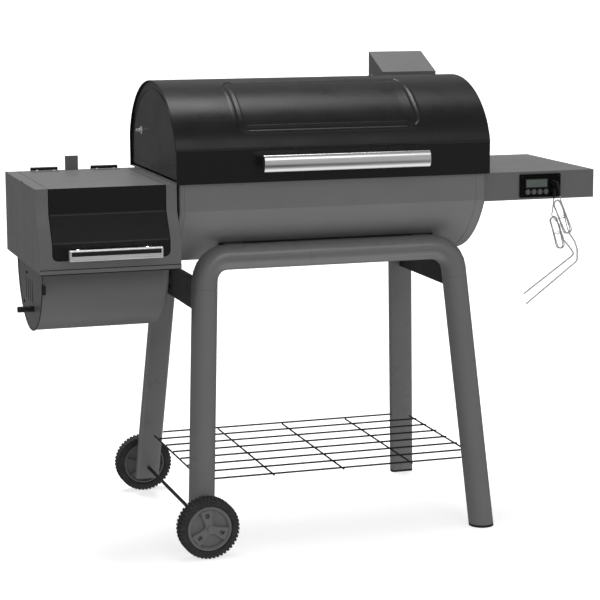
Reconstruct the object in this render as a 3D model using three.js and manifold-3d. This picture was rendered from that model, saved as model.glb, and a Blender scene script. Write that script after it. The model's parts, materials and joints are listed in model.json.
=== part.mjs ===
// Pellet smoker grill on a four-legged stand: a barrel with an arched lid, a pellet hopper on the
// left with an air housing under it, and a side shelf with the controller on the right.
// Millimetres, +Z up, the front faces -Y and +X points to the shelf side.
// Model coordinates: X = 0 at the middle of the barrel, Y = 0 at the middle of the stand and
// Z = 0 on the floor. The last lines move X = 0 to the middle of the whole width.
import * as THREE from 'three';
import { mergeVertices } from 'three/addons/utils/BufferGeometryUtils.js';
import Module from 'manifold-3d';

const wasm = await Module();
wasm.setup();

// ---------- driving dimensions ----------
const SHEET = 2;
const GAP = 0.3;
const PAST = 5;
const FAR_PAST = 60;

const BARREL = { y: 5, halfLength: 400, halfDepth: 240, radius: 265.5, arcZ: 955.5, rimZ: 913, lip: 9 };
const LID = { halfLength: 411, halfDepth: 250, bottomZ: 919, archZ: 960, archHalfDepth: 254.7,
  archHeight: 189, plateInset: 5 };
const LID_HANDLE = { x0: -204, x1: 229, y: -290, z: 959.5, halfDepth: 10, halfHeight: 21, postX: 165,
  postRadius: 8 };
const LID_HINGE = { y: 263, z: 915, knuckle: 5, pin: 2, pinGap: 0.6, halfWidth: 30, x: 270, earWidth: 20,
  webDrop: 20, plateTop: 18, plateDrop: 42, spacerDrop: 30, plateThickness: 3 };
const LID_LEAF = { halfWidth: 28, thickness: 2.5, z0: 12, z1: 44, neckHalfWidth: 9.5, neckThickness: 4,
  neckZ0: 6, neckZ1: 22, armZ1: 10 };
const HOOD = { x0: 248, x1: 400, y0: 110, y1: 222, frontZ: 1152, backZ: 1201, frontLip: 14, mouthDepth: 14,
  lowZ: 1000, holeInset: 20, holeBackInset: 22, frontSlant: 0.5, backSlant: 1.5 };

const HOPPER = { x0: -757, x1: -412, backY: 174, frontY: -247, noseY: -284, topZ: 913,
  creaseZ: 850, noseZ: 785, bottomZ: 713, lipHeight: 9, lipStep: 2, bendShare: 0.3, cutY0: -320, cutY1: -200 };
const AIR_HOLE = { x0: -480, x1: -440, y0: -60, y1: 0 };
const BIN = { topZ: 890, topHalf: 176, outletHalf: 40, boreHalf: 36, depthShare: 0.78 };
const DOOR = { x0: -725, x1: -440, bottomZ: 745, corner: 12, seam: 1.5, backY: 166 };
const DOOR_HINGE = { y: 172, z: 918, knuckle: 4, halfWidth: 35, centres: [-657, -500], leafBottomZ: 884,
  topLeafY0: 138, topLeafY1: 166.5, topLeafHeight: 1.5 };
const DOOR_HANDLE = { x0: -692, x1: -467, y: -318, z: 760, halfDepth: 8, halfHeight: 13, corner: 2.5, postX: 85,
  postRadius: 6, grooveDepth: 4, grooveEnd: 4, grooveBottom: 1, grooveTop: 3.5 };
const STOP_TAB = { x: -585, width: 34, topZ: 949, thickness: 3, rootDepth: 20 };

const HOUSING = { x0: -745, x1: -430, y: -75, z: 715, radius: 169, edge: 16 };
const VENTS = { count: 4, pitch: 28, firstY: -98, width: 9, z0: 614, z1: 672 };
const SHUTTER = { travel: 14, leverY: -111, leverZ: 603, leverRadius: 7.5, leverLength: 38, neckRadius: 3.6,
  slotRadius: 4.5, thickness: 1.5, y0: -128, y1: 2, z0: 592, z1: 684 };
const FAN = { x: -640, z: 625, radius: 52, width: 30, hubRadius: 9, bladeCount: 10, bladeThickness: 1.6,
  bladeHeight: 20, bladeInset: 12, motorLength: 45, motorRadius: 28, bracketHalfDepth: 12 };

const AUGER = { y: -20, z: 752, tubeRadius: 25, screwRadius: 21, shaftRadius: 6, pitch: 80,
  x0: -690, x1: -40, mouthX0: -620, mouthX1: -544, mouthHalfDepth: 16, mouthTopZ: 792, endGap: 4 };
const AUGER_MOTOR = { x0: -735, half: 32, canX0: -732, canX1: -698, canOffset: 50, canRadius: 26 };
const BURN_POT = { x: 8, radius: 45, wall: 3, z0: 712, z1: 800, footHalf: 20, footZ: 697 };
const IGNITER = { x0: -170, z: 721, radius: 4.5, holeRadius: 5.5 };
const GRATE = { z: 872, thickness: 6, halfWidth: 394, halfDepth: 226, border: 10, barPitch: 32, barWidth: 8 };
const DRIP_TRAY = { halfLength: 386, outline: [[-212, 838], [-212, 828], [40, 818], [222, 828], [222, 838],
  [220, 838], [220, 830], [40, 820], [-210, 830], [-210, 838]] };
const HEAT_BAFFLE = { x0: -150, x1: 170, outline: [[-122, 728], [-122, 808], [-40, 814], [0, 814], [82, 808],
  [82, 708], [80, 708], [80, 806], [0, 812], [-40, 812], [-120, 806], [-120, 728]] };

const SHELF = { x0: 402.7, x1: 714, y0: -224, y1: 202, topZ: 909, apron: 73 };
const PANEL = { x0: 503, x1: 618, z0: 842, z1: 902, thickness: 3, corner: 3 };
const BUTTON = { radius: 5, z: 856, xs: [526, 543, 560, 577], height: 2, root: 1.1, holeGap: 0.4 };
const JACK = { x: 598, radius: 3, zs: [879, 857] };

const TUBE = { halfWidth: 32, flatDepth: 14, corner: 8, wall: 1.5 };
const STAND = { topX: 328, topY: 191, topZ: 720, footX: 376, footY: 297, bend: 60, seamZ: 642,
  leftEndZ: 46, capHeight: 6, capPlugTop: 22, capPlugBottom: 3, capPlugGap: 0.4 };
const PAD = { x: 250, halfWidth: 22, reach: 36, z0: 722, z1: 751 };
const BRACE = { leftX: -330, rightX: 330, leftZ: 572, rightZ: 612, height: 74, thickness: 3, flange: 22 };
const WHEEL = { radius: 76, width: 40, hubRadius: 56.5, x: -370, y: 344, axleRadius: 4.5, axleEnd: 366,
  axleGap: 0.4, hubRecess: 14, hubBossRadius: 18 };
const RACK = { z: 176, wire: 2.2, firstX: -360, pitchX: 185, crossCount: 5, pitchY: 75.7, longCount: 8,
  crossEndY: 243.5, frontEndX: 331 };

const CABLE_RADIUS = 1.4;
const PROBE_RADIUS = 2.3;
const PLUG_RADIUS = 3.8;
const HANK_THICKNESS = 11.6;

// ---------- finishes ----------
const finish = (name, color, roughness, metalness) => (
  new THREE.MeshStandardMaterial({ name, color, roughness, metalness }));
const greyPaint = () => finish('grey_powder_coat', 0x626262, 0.55, 0.2);
const blackPaint = () => finish('black_satin_paint', 0x232323, 0.4, 0.2);
const stainless = () => finish('stainless_steel', 0xc8c8c8, 0.25, 1.0);
const blackPlastic = () => finish('black_plastic', 0x161616, 0.5, 0.0);
const greyPlastic = () => finish('grey_plastic', 0x5c5c5c, 0.5, 0.0);
const tyreRubber = () => finish('tyre_rubber', 0x202020, 0.85, 0.0);
const galvanised = () => finish('galvanised_steel', 0x9a9c9e, 0.45, 0.9);
const castIron = () => finish('enamelled_grate', 0x1c1c1c, 0.6, 0.4);
const braid = () => finish('braided_cable', 0xb9b9b9, 0.4, 0.8);

// ---------- solids, joins and cuts ----------
function toSolid(geometry) {
  const bare = geometry.clone();
  bare.deleteAttribute('normal');
  bare.deleteAttribute('uv');
  const merged = mergeVertices(bare, 1e-4);
  const vertProperties = Float32Array.from(merged.attributes.position.array);
  const triVerts = Uint32Array.from(merged.index.array);
  return new wasm.Manifold(new wasm.Mesh({ numProp: 3, vertProperties, triVerts }));
}

function toGeometry(solid) {
  const mesh = solid.getMesh();
  const geometry = new THREE.BufferGeometry();
  geometry.setAttribute('position', new THREE.BufferAttribute(mesh.vertProperties, 3));
  geometry.setIndex(new THREE.BufferAttribute(mesh.triVerts, 1));
  geometry.computeVertexNormals();
  return geometry;
}

function cut(geometry, ...tools) {
  return toGeometry(tools.reduce((solid, tool) => solid.subtract(toSolid(tool)), toSolid(geometry)));
}

function join(...geometries) {
  return toGeometry(geometries.map(toSolid).reduce((whole, solid) => whole.add(solid)));
}

function overlapOf(first, second) {
  return toGeometry(toSolid(first).intersect(toSolid(second)));
}

// ---------- basic shapes ----------
const point = (u, v) => new THREE.Vector2(u, v);
const shapeOf = (pairs) => new THREE.Shape(pairs.map(([u, v]) => point(u, v)));
const alongXBasis = new THREE.Matrix4().makeBasis(
  new THREE.Vector3(0, 1, 0), new THREE.Vector3(0, 0, 1), new THREE.Vector3(1, 0, 0));
const alongYBasis = new THREE.Matrix4().makeBasis(
  new THREE.Vector3(1, 0, 0), new THREE.Vector3(0, 0, 1), new THREE.Vector3(0, -1, 0));

function extrude(shape, depth) {
  return new THREE.ExtrudeGeometry(shape, { depth, bevelEnabled: false });
}

// A shape drawn in (Y, Z), swept from x0 to x1
function alongX(shape, x0, x1) {
  return extrude(shape, x1 - x0).applyMatrix4(alongXBasis).translate(x0, 0, 0);
}

// A shape drawn in (X, Z), swept from y0 to y1
function alongY(shape, y0, y1) {
  return extrude(shape, y1 - y0).applyMatrix4(alongYBasis).translate(0, y1, 0);
}

function block(x0, x1, y0, y1, z0, z1) {
  const geometry = new THREE.BoxGeometry(x1 - x0, y1 - y0, z1 - z0);
  return geometry.translate((x0 + x1) / 2, (y0 + y1) / 2, (z0 + z1) / 2);
}

function rodX(x0, x1, y, z, radius, sides = 20) {
  const geometry = new THREE.CylinderGeometry(radius, radius, x1 - x0, sides);
  return geometry.rotateZ(Math.PI / 2).translate((x0 + x1) / 2, y, z);
}

function rodY(x, y0, y1, z, radius, sides = 20) {
  return new THREE.CylinderGeometry(radius, radius, y1 - y0, sides).translate(x, (y0 + y1) / 2, z);
}

function rodZ(x, y, z0, z1, radius, sides = 20) {
  const geometry = new THREE.CylinderGeometry(radius, radius, z1 - z0, sides);
  return geometry.rotateX(Math.PI / 2).translate(x, y, (z0 + z1) / 2);
}

function arcPoints(centreU, centreV, halfWidth, height, from, to, segments) {
  const points = [];
  for (let i = 0; i <= segments; i += 1) {
    const angle = from + ((to - from) * i) / segments;
    points.push(point(centreU + halfWidth * Math.cos(angle), centreV + height * Math.sin(angle)));
  }
  return points;
}

function roundedRectangle(u0, u1, v0, v1, radius, steps = 3) {
  const quarter = (centreU, centreV, start) => (
    arcPoints(centreU, centreV, radius, radius, start, start + Math.PI / 2, steps));
  return new THREE.Shape([
    ...quarter(u1 - radius, v0 + radius, -Math.PI / 2),
    ...quarter(u1 - radius, v1 - radius, 0),
    ...quarter(u0 + radius, v1 - radius, Math.PI / 2),
    ...quarter(u0 + radius, v0 + radius, Math.PI),
  ]);
}

// A centreline given point by point, so that a sweep has one section at each point
class PointCurve extends THREE.Curve {
  constructor(points) {
    super();
    this.points = points;
  }

  getUtoTmapping(u) {
    return u;
  }

  getPoint(t) {
    const last = this.points.length - 1;
    const index = Math.min(Math.floor(t * last + 1e-9), last - 1);
    return this.points[index].clone().lerp(this.points[index + 1], t * last - index);
  }

  getTangent(t) {
    const last = this.points.length - 1;
    const index = Math.round(t * last);
    const before = this.points[Math.max(index - 1, 0)];
    const here = this.points[index];
    const after = this.points[Math.min(index + 1, last)];
    const arriving = here.clone().sub(before).normalize();
    const leaving = after.clone().sub(here).normalize();
    return arriving.add(leaving).normalize();
  }
}

function sweep(section, points) {
  const extrudePath = new PointCurve(points);
  return new THREE.ExtrudeGeometry(section, {
    steps: points.length - 1, bevelEnabled: false, extrudePath });
}

// Corners of a 3-D route, each replaced by an arc of the given radius
function roundCorners(corners, radius, steps) {
  const points = [corners[0]];
  for (let i = 1; i < corners.length - 1; i += 1) {
    const toBefore = corners[i - 1].clone().sub(corners[i]).normalize();
    const toAfter = corners[i + 1].clone().sub(corners[i]).normalize();
    const halfAngle = toBefore.angleTo(toAfter) / 2;
    const start = corners[i].clone().addScaledVector(toBefore, radius / Math.tan(halfAngle));
    const inward = toBefore.clone().add(toAfter).normalize();
    const centre = corners[i].clone().addScaledVector(inward, radius / Math.sin(halfAngle));
    const axis = toAfter.clone().cross(toBefore).normalize();
    const turn = (Math.PI - 2 * halfAngle) / steps;
    for (let step = 0; step <= steps; step += 1) {
      points.push(start.clone().sub(centre).applyAxisAngle(axis, turn * step).add(centre));
    }
  }
  points.push(corners[corners.length - 1]);
  return points;
}

// ---------- the assembly ----------
const grill = new THREE.Group();

function add(name, geometry, material, parent = grill) {
  const mesh = new THREE.Mesh(geometry, material);
  mesh.name = name;
  parent.add(mesh);
  return mesh;
}

// ---------- barrel ----------
// The trough's outline from its front top edge, round the belly, to its back top edge
function troughOutline(inset, topZ) {
  const halfDepth = BARREL.halfDepth - inset;
  const radius = BARREL.radius - inset;
  const start = Math.acos(halfDepth / radius);
  return [
    point(BARREL.y - halfDepth, topZ),
    ...arcPoints(BARREL.y, BARREL.arcZ, radius, radius, Math.PI + start, 2 * Math.PI - start, 32),
    point(BARREL.y + halfDepth, topZ),
  ];
}

function bodyShell() {
  const lipY = BARREL.halfDepth + BARREL.lip;
  const underLip = BARREL.rimZ - SHEET;
  const outline = [
    point(BARREL.y - lipY, BARREL.rimZ),
    point(BARREL.y - lipY, underLip),
    ...troughOutline(0, underLip),
    point(BARREL.y + lipY, underLip),
    point(BARREL.y + lipY, BARREL.rimZ),
    ...troughOutline(SHEET, BARREL.rimZ).reverse(),
  ];
  return alongX(new THREE.Shape(outline), -BARREL.halfLength, BARREL.halfLength);
}

// One end of the barrel, side -1 or 1, with its top edge folded outwards
function bodyEnd(side) {
  const inner = BARREL.halfLength + GAP;
  const x = side > 0 ? inner : -inner - SHEET;
  const plate = alongX(new THREE.Shape(troughOutline(0, BARREL.rimZ)), x, x + SHEET);
  if (side > 0) {
    return plate;
  }
  const fold = block(HOPPER.x1 + 2, x + 1, BARREL.y - BARREL.halfDepth, BARREL.y + BARREL.halfDepth,
    BARREL.rimZ - SHEET, BARREL.rimZ);
  const augerHole = rodX(x - PAST, x + 2 * PAST, AUGER.y, AUGER.z, AUGER.tubeRadius + GAP, 32);
  return cut(join(plate, fold), augerHole);
}

add('body_shell', bodyShell(), greyPaint());
add('body_end_left', bodyEnd(-1), greyPaint());
add('body_end_right', bodyEnd(1), greyPaint());

// ---------- grate, drip tray and heat baffle inside the barrel ----------
function cookingGrate() {
  const { z, thickness, halfWidth, halfDepth, border, barPitch, barWidth } = GRATE;
  const slotCount = Math.floor((2 * (halfWidth - border)) / barPitch);
  const firstX = (-slotCount * barPitch) / 2;
  const [y0, y1] = [BARREL.y - halfDepth, BARREL.y + halfDepth];
  const slots = [];
  for (let i = 0; i < slotCount; i += 1) {
    const x0 = firstX + i * barPitch + barWidth / 2;
    const x1 = x0 + barPitch - barWidth;
    slots.push(block(x0, x1, y0 + border, y1 - border, z - PAST, z + thickness + PAST));
  }
  return cut(block(-halfWidth, halfWidth, y0, y1, z, z + thickness), ...slots);
}

add('cooking_grate', cookingGrate(), castIron());

const dripTray = alongX(shapeOf(DRIP_TRAY.outline), -DRIP_TRAY.halfLength, DRIP_TRAY.halfLength);
add('drip_tray', dripTray, galvanised());

const heatBaffle = alongX(shapeOf(HEAT_BAFFLE.outline.toReversed()), HEAT_BAFFLE.x0, HEAT_BAFFLE.x1);
add('heat_baffle', heatBaffle, galvanised());

// ---------- burn pot, igniter and auger ----------
function burnPot() {
  const { x, radius, wall, z0, z1, footHalf, footZ } = BURN_POT;
  const bore = rodZ(x, AUGER.y, z0 + wall, z1 + 2 * PAST, radius - wall, 24);
  const cup = cut(rodZ(x, AUGER.y, z0, z1, radius, 24), bore);
  const foot = block(x - footHalf, x + footHalf, AUGER.y - footHalf, AUGER.y + footHalf, footZ, z0 + 1);
  const holeX = x - radius - 2 * PAST;
  const feedHole = rodX(holeX, x, AUGER.y, AUGER.z, AUGER.screwRadius + 1);
  const igniterHole = rodX(holeX, x, AUGER.y, IGNITER.z, IGNITER.holeRadius, 12);
  return cut(join(cup, foot), feedHole, igniterHole);
}

const igniterEndX = BURN_POT.x - BURN_POT.footHalf;
add('burn_pot', burnPot(), castIron());
add('igniter_rod', rodX(IGNITER.x0, igniterEndX, AUGER.y, IGNITER.z, IGNITER.radius, 12), stainless());

function augerTube() {
  const { x0, x1, y, z, tubeRadius, mouthX0, mouthX1, mouthHalfDepth, mouthTopZ } = AUGER;
  const tube = rodX(x0, x1 - 2, y, z, tubeRadius, 28);
  const bore = rodX(x0 - PAST, x1 + PAST, y, z, tubeRadius - SHEET, 28);
  const mouth = block(mouthX0, mouthX1, y - mouthHalfDepth, y + mouthHalfDepth, z, mouthTopZ);
  return cut(tube, bore, mouth);
}

add('auger_tube', augerTube(), galvanised());

// The screw's cross-section, a round shaft with one blade, turned once for each pitch of length
function augerScrew() {
  const blade = Math.PI / 8;
  const outline = [
    ...arcPoints(0, 0, AUGER.screwRadius, AUGER.screwRadius, -blade / 2, blade / 2, 2),
    ...arcPoints(0, 0, AUGER.shaftRadius, AUGER.shaftRadius, blade, 2 * Math.PI - blade, 5),
  ];
  const length = AUGER.x1 - AUGER.x0 - 2 * AUGER.endGap;
  const steps = Math.round((length / AUGER.pitch) * 6);
  const screw = new THREE.ExtrudeGeometry(new THREE.Shape(outline), {
    depth: length, steps, bevelEnabled: false });
  const position = screw.attributes.position;
  const axis = new THREE.Vector3(0, 0, 1);
  for (let i = 0; i < position.count; i += 1) {
    const vertex = new THREE.Vector3().fromBufferAttribute(position, i);
    vertex.applyAxisAngle(axis, (2 * Math.PI * vertex.z) / AUGER.pitch);
    position.setXYZ(i, vertex.x, vertex.y, vertex.z);
  }
  screw.applyMatrix4(alongXBasis).translate(AUGER.x0 + AUGER.endGap, AUGER.y, AUGER.z);
  return screw;
}

add('auger_screw', augerScrew(), stainless());

function augerMotor() {
  const { x0, half, canX0, canX1, canOffset, canRadius } = AUGER_MOTOR;
  const { y, z } = AUGER;
  const gearbox = block(x0, AUGER.x0 - GAP, y - half, y + half, z - half, z + half);
  return join(gearbox, rodX(canX0, canX1, y + canOffset, z, canRadius, 20));
}

add('auger_motor', augerMotor(), galvanised());

// ---------- lid ----------
// The lid's outline from its front foot, over the arch, to its back foot
function lidOutline(inset) {
  const halfDepth = LID.halfDepth - inset;
  const archHalfDepth = LID.archHalfDepth - inset;
  const start = Math.acos(halfDepth / archHalfDepth);
  return [
    point(BARREL.y - halfDepth, LID.bottomZ),
    ...arcPoints(BARREL.y, LID.archZ, archHalfDepth, LID.archHeight - inset, Math.PI - start, start, 38),
    point(BARREL.y + halfDepth, LID.bottomZ),
  ];
}

// The hinge leaf on the lid's back skirt, with its knuckle in the middle of the hinge
function lidHingeLeaf(centreX) {
  const { y, z, knuckle } = LID_HINGE;
  const { halfWidth, thickness, z0, z1, neckHalfWidth, neckThickness, neckZ0, neckZ1, armZ1 } = LID_LEAF;
  const skirtY = BARREL.y + LID.halfDepth;
  const [x0, x1] = [centreX - neckHalfWidth, centreX + neckHalfWidth];
  return [
    block(centreX - halfWidth, centreX + halfWidth, skirtY - 1, skirtY + thickness, z + z0, z + z1),
    block(x0, x1, skirtY - 1, skirtY + neckThickness, z + neckZ0, z + neckZ1),
    block(x0, x1, skirtY + 2, y + 3, z, z + armZ1),
    rodX(x0, x1, y, z, knuckle, 20),
  ];
}

function lidShell() {
  const shape = new THREE.Shape([...lidOutline(0), ...lidOutline(SHEET).reverse()].reverse());
  const shell = alongX(shape, -LID.halfLength, LID.halfLength);
  const { x0, x1, y0, y1, holeInset, holeBackInset } = HOOD;
  const smokeHole = block(x0 + holeInset, x1 - holeInset, y0 + holeInset, y1 - holeBackInset,
    HOOD.lowZ + 30, HOOD.backZ);
  const leaves = [-LID_HINGE.x, LID_HINGE.x].flatMap(lidHingeLeaf);
  const boreRadius = LID_HINGE.pin + LID_HINGE.pinGap;
  const bore = rodX(-LID.halfLength, LID.halfLength, LID_HINGE.y, LID_HINGE.z, boreRadius, 16);
  return cut(join(shell, ...leaves), smokeHole, bore);
}

function lidEnd(side) {
  const outer = LID.halfLength - LID.plateInset;
  const x = side > 0 ? outer - SHEET : -outer;
  return alongX(new THREE.Shape(lidOutline(SHEET + GAP).reverse()), x, x + SHEET);
}

add('lid_shell', lidShell(), blackPaint());
add('lid_end_left', lidEnd(-1), blackPaint());
add('lid_end_right', lidEnd(1), blackPaint());

// A flat oval bar on two posts, standing off the lid's front skirt
function lidHandle() {
  const { x0, x1, y, z, halfDepth, halfHeight, postX, postRadius } = LID_HANDLE;
  const section = new THREE.Shape(arcPoints(y, z, halfDepth, halfHeight, 0, 2 * Math.PI * (31 / 32), 31));
  const bar = alongX(section, x0, x1);
  const middle = (x0 + x1) / 2;
  const skirtY = BARREL.y - LID.halfDepth - GAP;
  const posts = [-postX, postX].map((side) => rodY(middle + side, y, skirtY, z, postRadius, 16));
  return join(bar, ...posts);
}

add('lid_handle', lidHandle(), stainless());

function smokeHood() {
  const { x0, x1, y0, y1, frontZ, backZ, frontLip, mouthDepth, lowZ, frontSlant, backSlant } = HOOD;
  const outer = shapeOf([[y0, frontZ], [y0, lowZ], [y1, lowZ], [y1, backZ]]);
  const inner = shapeOf([[y0 + SHEET, frontZ - SHEET - frontSlant], [y0 + SHEET, lowZ - 2 * PAST],
    [y1 - SHEET, lowZ - 2 * PAST], [y1 - SHEET, backZ - SHEET - backSlant]]);
  const hollow = alongX(inner, x0 + SHEET, x1 - SHEET);
  const lidRoom = alongX(new THREE.Shape(lidOutline(-GAP).reverse()), x0 - PAST, x1 + PAST);
  const mouth = block(x0 - PAST, x1 + PAST, y0 - PAST, y0 + mouthDepth, lowZ - 4 * PAST, frontZ - frontLip);
  return cut(alongX(outer, x0, x1), hollow, lidRoom, mouth);
}

add('smoke_hood', smokeHood(), greyPaint());

// The hinge half on the barrel's back wall: two knuckles, the pin and a folded plate
function lidHingeBase(centreX) {
  const { y, z, knuckle, pin, halfWidth, earWidth } = LID_HINGE;
  const { webDrop, plateTop, plateDrop, spacerDrop, plateThickness } = LID_HINGE;
  const wallY = BARREL.y + BARREL.halfDepth + GAP;
  const plateY = BARREL.y + BARREL.halfDepth + BARREL.lip + 1;
  const [x0, x1] = [centreX - halfWidth, centreX + halfWidth];
  const ears = [x0, x1 - earWidth].flatMap((x) => [
    rodX(x, x + earWidth, y, z, knuckle, 20),
    block(x, x + earWidth, plateY, y, z - webDrop, z),
  ]);
  const plate = block(x0, x1, plateY, plateY + plateThickness, z - plateDrop, z - plateTop);
  const spacer = block(x0, x1, wallY, plateY + 1, z - plateDrop, z - spacerDrop);
  return join(...ears, plate, spacer, rodX(x0, x1, y, z, pin, 16));
}

add('lid_hinge_left', lidHingeBase(-LID_HINGE.x), blackPaint());
add('lid_hinge_right', lidHingeBase(LID_HINGE.x), blackPaint());

// ---------- pellet hopper ----------
// The hopper's side outline; the front steps out to a deeper nose at the bottom
function hopperOutline(inset) {
  const { backY, frontY, noseY, topZ, creaseZ, noseZ, bottomZ, bendShare } = HOPPER;
  return [
    point(backY - inset, topZ - inset),
    point(frontY + inset, topZ - inset),
    point(frontY + inset, creaseZ + inset * bendShare),
    point(noseY + inset, noseZ + inset * bendShare),
    point(noseY + inset, bottomZ + inset),
    point(backY - inset, bottomZ + inset),
  ];
}

// A plate with round lower corners, as deep as the hopper's front, that cuts or shapes its lid
function doorBlank(margin) {
  const outline = roundedRectangle(DOOR.x0 - margin, DOOR.x1 + margin, DOOR.bottomZ - margin,
    HOPPER.topZ + FAR_PAST, DOOR.corner + margin);
  return alongY(outline, HOPPER.cutY0, HOPPER.cutY1);
}

// A rim round the bottom edge, open inside
function hopperLip() {
  const { x0, x1, noseY, backY, bottomZ, lipHeight, lipStep } = HOPPER;
  const band = block(x0, x1, noseY - lipStep, backY, bottomZ, bottomZ + lipHeight);
  const inside = block(x0 + 1, x1 - 1, noseY + 1, backY - 1, bottomZ - PAST, bottomZ + lipHeight + FAR_PAST);
  return cut(band, inside);
}

function hopperShell() {
  const { x0, x1, backY, topZ, bottomZ } = HOPPER;
  const walls = alongX(new THREE.Shape(hopperOutline(0)), x0, x1);
  const hollow = alongX(new THREE.Shape(hopperOutline(SHEET)), x0 + SHEET, x1 - SHEET);
  const topOpening = block(DOOR.x0 - DOOR.seam, DOOR.x1 + DOOR.seam, HOPPER.frontY - 13, DOOR.backY + DOOR.seam,
    topZ - PAST - 1, topZ + PAST + 1);
  const augerHole = rodX(x1 - 2 * PAST, x1 + 2 * PAST, AUGER.y, AUGER.z, AUGER.tubeRadius + GAP, 32);
  const airHole = block(AIR_HOLE.x0, AIR_HOLE.x1, AIR_HOLE.y0, AIR_HOLE.y1, bottomZ - PAST, bottomZ + PAST);
  const tab = block(STOP_TAB.x - STOP_TAB.width / 2, STOP_TAB.x + STOP_TAB.width / 2,
    backY - STOP_TAB.thickness, backY, topZ - STOP_TAB.rootDepth, STOP_TAB.topZ);
  return join(cut(walls, hollow, doorBlank(DOOR.seam), topOpening, augerHole, airHole), hopperLip(), tab);
}

add('hopper_shell', hopperShell(), greyPaint());

// A square funnel with thin walls, wide at the top
function hopperBin() {
  const { topZ, topHalf, outletHalf, boreHalf, depthShare } = BIN;
  const x = (DOOR.x0 + DOOR.x1) / 2;
  const funnel = (lowHalf, z0, z1) => {
    const geometry = new THREE.CylinderGeometry(topHalf * Math.SQRT2, lowHalf * Math.SQRT2, z1 - z0, 4);
    geometry.rotateY(Math.PI / 4).rotateX(Math.PI / 2).scale(depthShare, 1, 1);
    return geometry.translate(x, AUGER.y, (z0 + z1) / 2);
  };
  const outletZ = AUGER.z + AUGER.tubeRadius + 1;
  return cut(funnel(outletHalf, outletZ, topZ), funnel(boreHalf, outletZ - 2, topZ + 2));
}

add('hopper_bin', hopperBin(), galvanised());

function doorTop() {
  const { centres, halfWidth, topLeafY0, topLeafY1, topLeafHeight } = DOOR_HINGE;
  const topZ = HOPPER.topZ;
  const plate = block(DOOR.x0, DOOR.x1, HOPPER.frontY + SHEET + GAP, DOOR.backY, topZ - SHEET, topZ);
  const leaves = centres.map((x) => (
    block(x - halfWidth, x + halfWidth, topLeafY0, topLeafY1, topZ - 1, topZ + topLeafHeight)));
  return join(plate, ...leaves);
}

// The black front of the hopper's lid: the shell's own folded front, with round lower corners
function doorFront() {
  const outline = hopperOutline(0).slice(1, 5);
  const inner = hopperOutline(SHEET).slice(1, 5);
  inner[0].y = HOPPER.topZ;
  const skin = alongX(new THREE.Shape([...outline, ...inner.reverse()]), DOOR.x0, DOOR.x1);
  return overlapOf(skin, doorBlank(0));
}

// A bar with a long groove in its face, on two posts
function doorHandle() {
  const { x0, x1, y, z, halfDepth, halfHeight, corner, postX, postRadius } = DOOR_HANDLE;
  const { grooveDepth, grooveEnd, grooveBottom, grooveTop } = DOOR_HANDLE;
  const section = roundedRectangle(y - halfDepth, y + halfDepth, z - halfHeight, z + halfHeight, corner);
  const bar = alongX(section, x0, x1);
  const groove = block(x0 + grooveEnd, x1 - grooveEnd, y - halfDepth - 1, y - halfDepth + grooveDepth,
    z - grooveBottom, z + halfHeight - grooveTop);
  const middle = (x0 + x1) / 2;
  const posts = [-postX, postX].map((side) => rodY(middle + side, y, HOPPER.noseY - GAP, z, postRadius, 16));
  return join(cut(bar, groove), ...posts);
}

add('hopper_lid_top', doorTop(), greyPaint());
add('hopper_lid_front', doorFront(), blackPaint());
add('hopper_lid_handle', doorHandle(), stainless());

function doorHinge(x) {
  const { y, z, knuckle, halfWidth, leafBottomZ } = DOOR_HINGE;
  const barrel = rodX(x - halfWidth, x + halfWidth, y, z, knuckle, 16);
  const leafY = HOPPER.backY + GAP;
  return join(barrel, block(x - halfWidth, x + halfWidth, leafY, leafY + SHEET, leafBottomZ, z));
}

add('hopper_hinge_left', doorHinge(DOOR_HINGE.centres[0]), blackPaint());
add('hopper_hinge_right', doorHinge(DOOR_HINGE.centres[1]), blackPaint());

// ---------- air housing under the hopper ----------
// A drum cut in half lengthways, with a pressed end and a rounded edge on the right
function airHousing() {
  const { x0, x1, y, z, radius, edge } = HOUSING;
  const corner = (inset) => (
    arcPoints(radius - edge, x1 - edge, edge - inset, edge - inset, Math.PI / 2, 0, 5));
  const profile = [point(0, x1), ...corner(0), point(radius, x0), point(radius - SHEET, x0),
    ...corner(SHEET).reverse(), point(0, x1 - SHEET)];
  const drum = new THREE.LatheGeometry(profile.reverse(), 40);
  drum.rotateZ(-Math.PI / 2).translate(0, y, z);
  const margin = 2 * PAST;
  const topHalf = block(x0 - margin, x1 + margin, y - radius - margin, y + radius + margin,
    HOPPER.bottomZ - GAP, z + radius + margin);
  return cut(drum, topHalf);
}

add('air_housing', airHousing(), greyPaint());

const capX = HOUSING.x0 + 2;

function ventSlots(x0, x1) {
  const { count, pitch, firstY, width, z0, z1 } = VENTS;
  const half = width / 2;
  return Array.from({ length: count }, (unused, i) => {
    const y = firstY + i * pitch;
    return alongX(roundedRectangle(y - half, y + half, z0, z1, half - 0.1), x0, x1);
  });
}

function housingCap() {
  const radius = HOUSING.radius - SHEET - GAP;
  const [x0, x1] = [capX - PAST, capX + 2 * PAST];
  const disc = rodX(capX, capX + SHEET, HOUSING.y, HOUSING.z, radius, 40);
  const { y, z } = HOUSING;
  const topHalf = block(x0, x1, y - 2 * radius, y + 2 * radius, HOPPER.bottomZ - 2 * GAP, z + 2 * radius);
  const { leverY, leverZ, travel, slotRadius } = SHUTTER;
  const leverSlot = alongX(roundedRectangle(leverY - slotRadius, leverY + travel + slotRadius,
    leverZ - slotRadius, leverZ + slotRadius, slotRadius - 0.1), x0, x1);
  return cut(disc, topHalf, leverSlot, ...ventSlots(x0, x1));
}

add('air_housing_cap', housingCap(), greyPaint());

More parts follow.
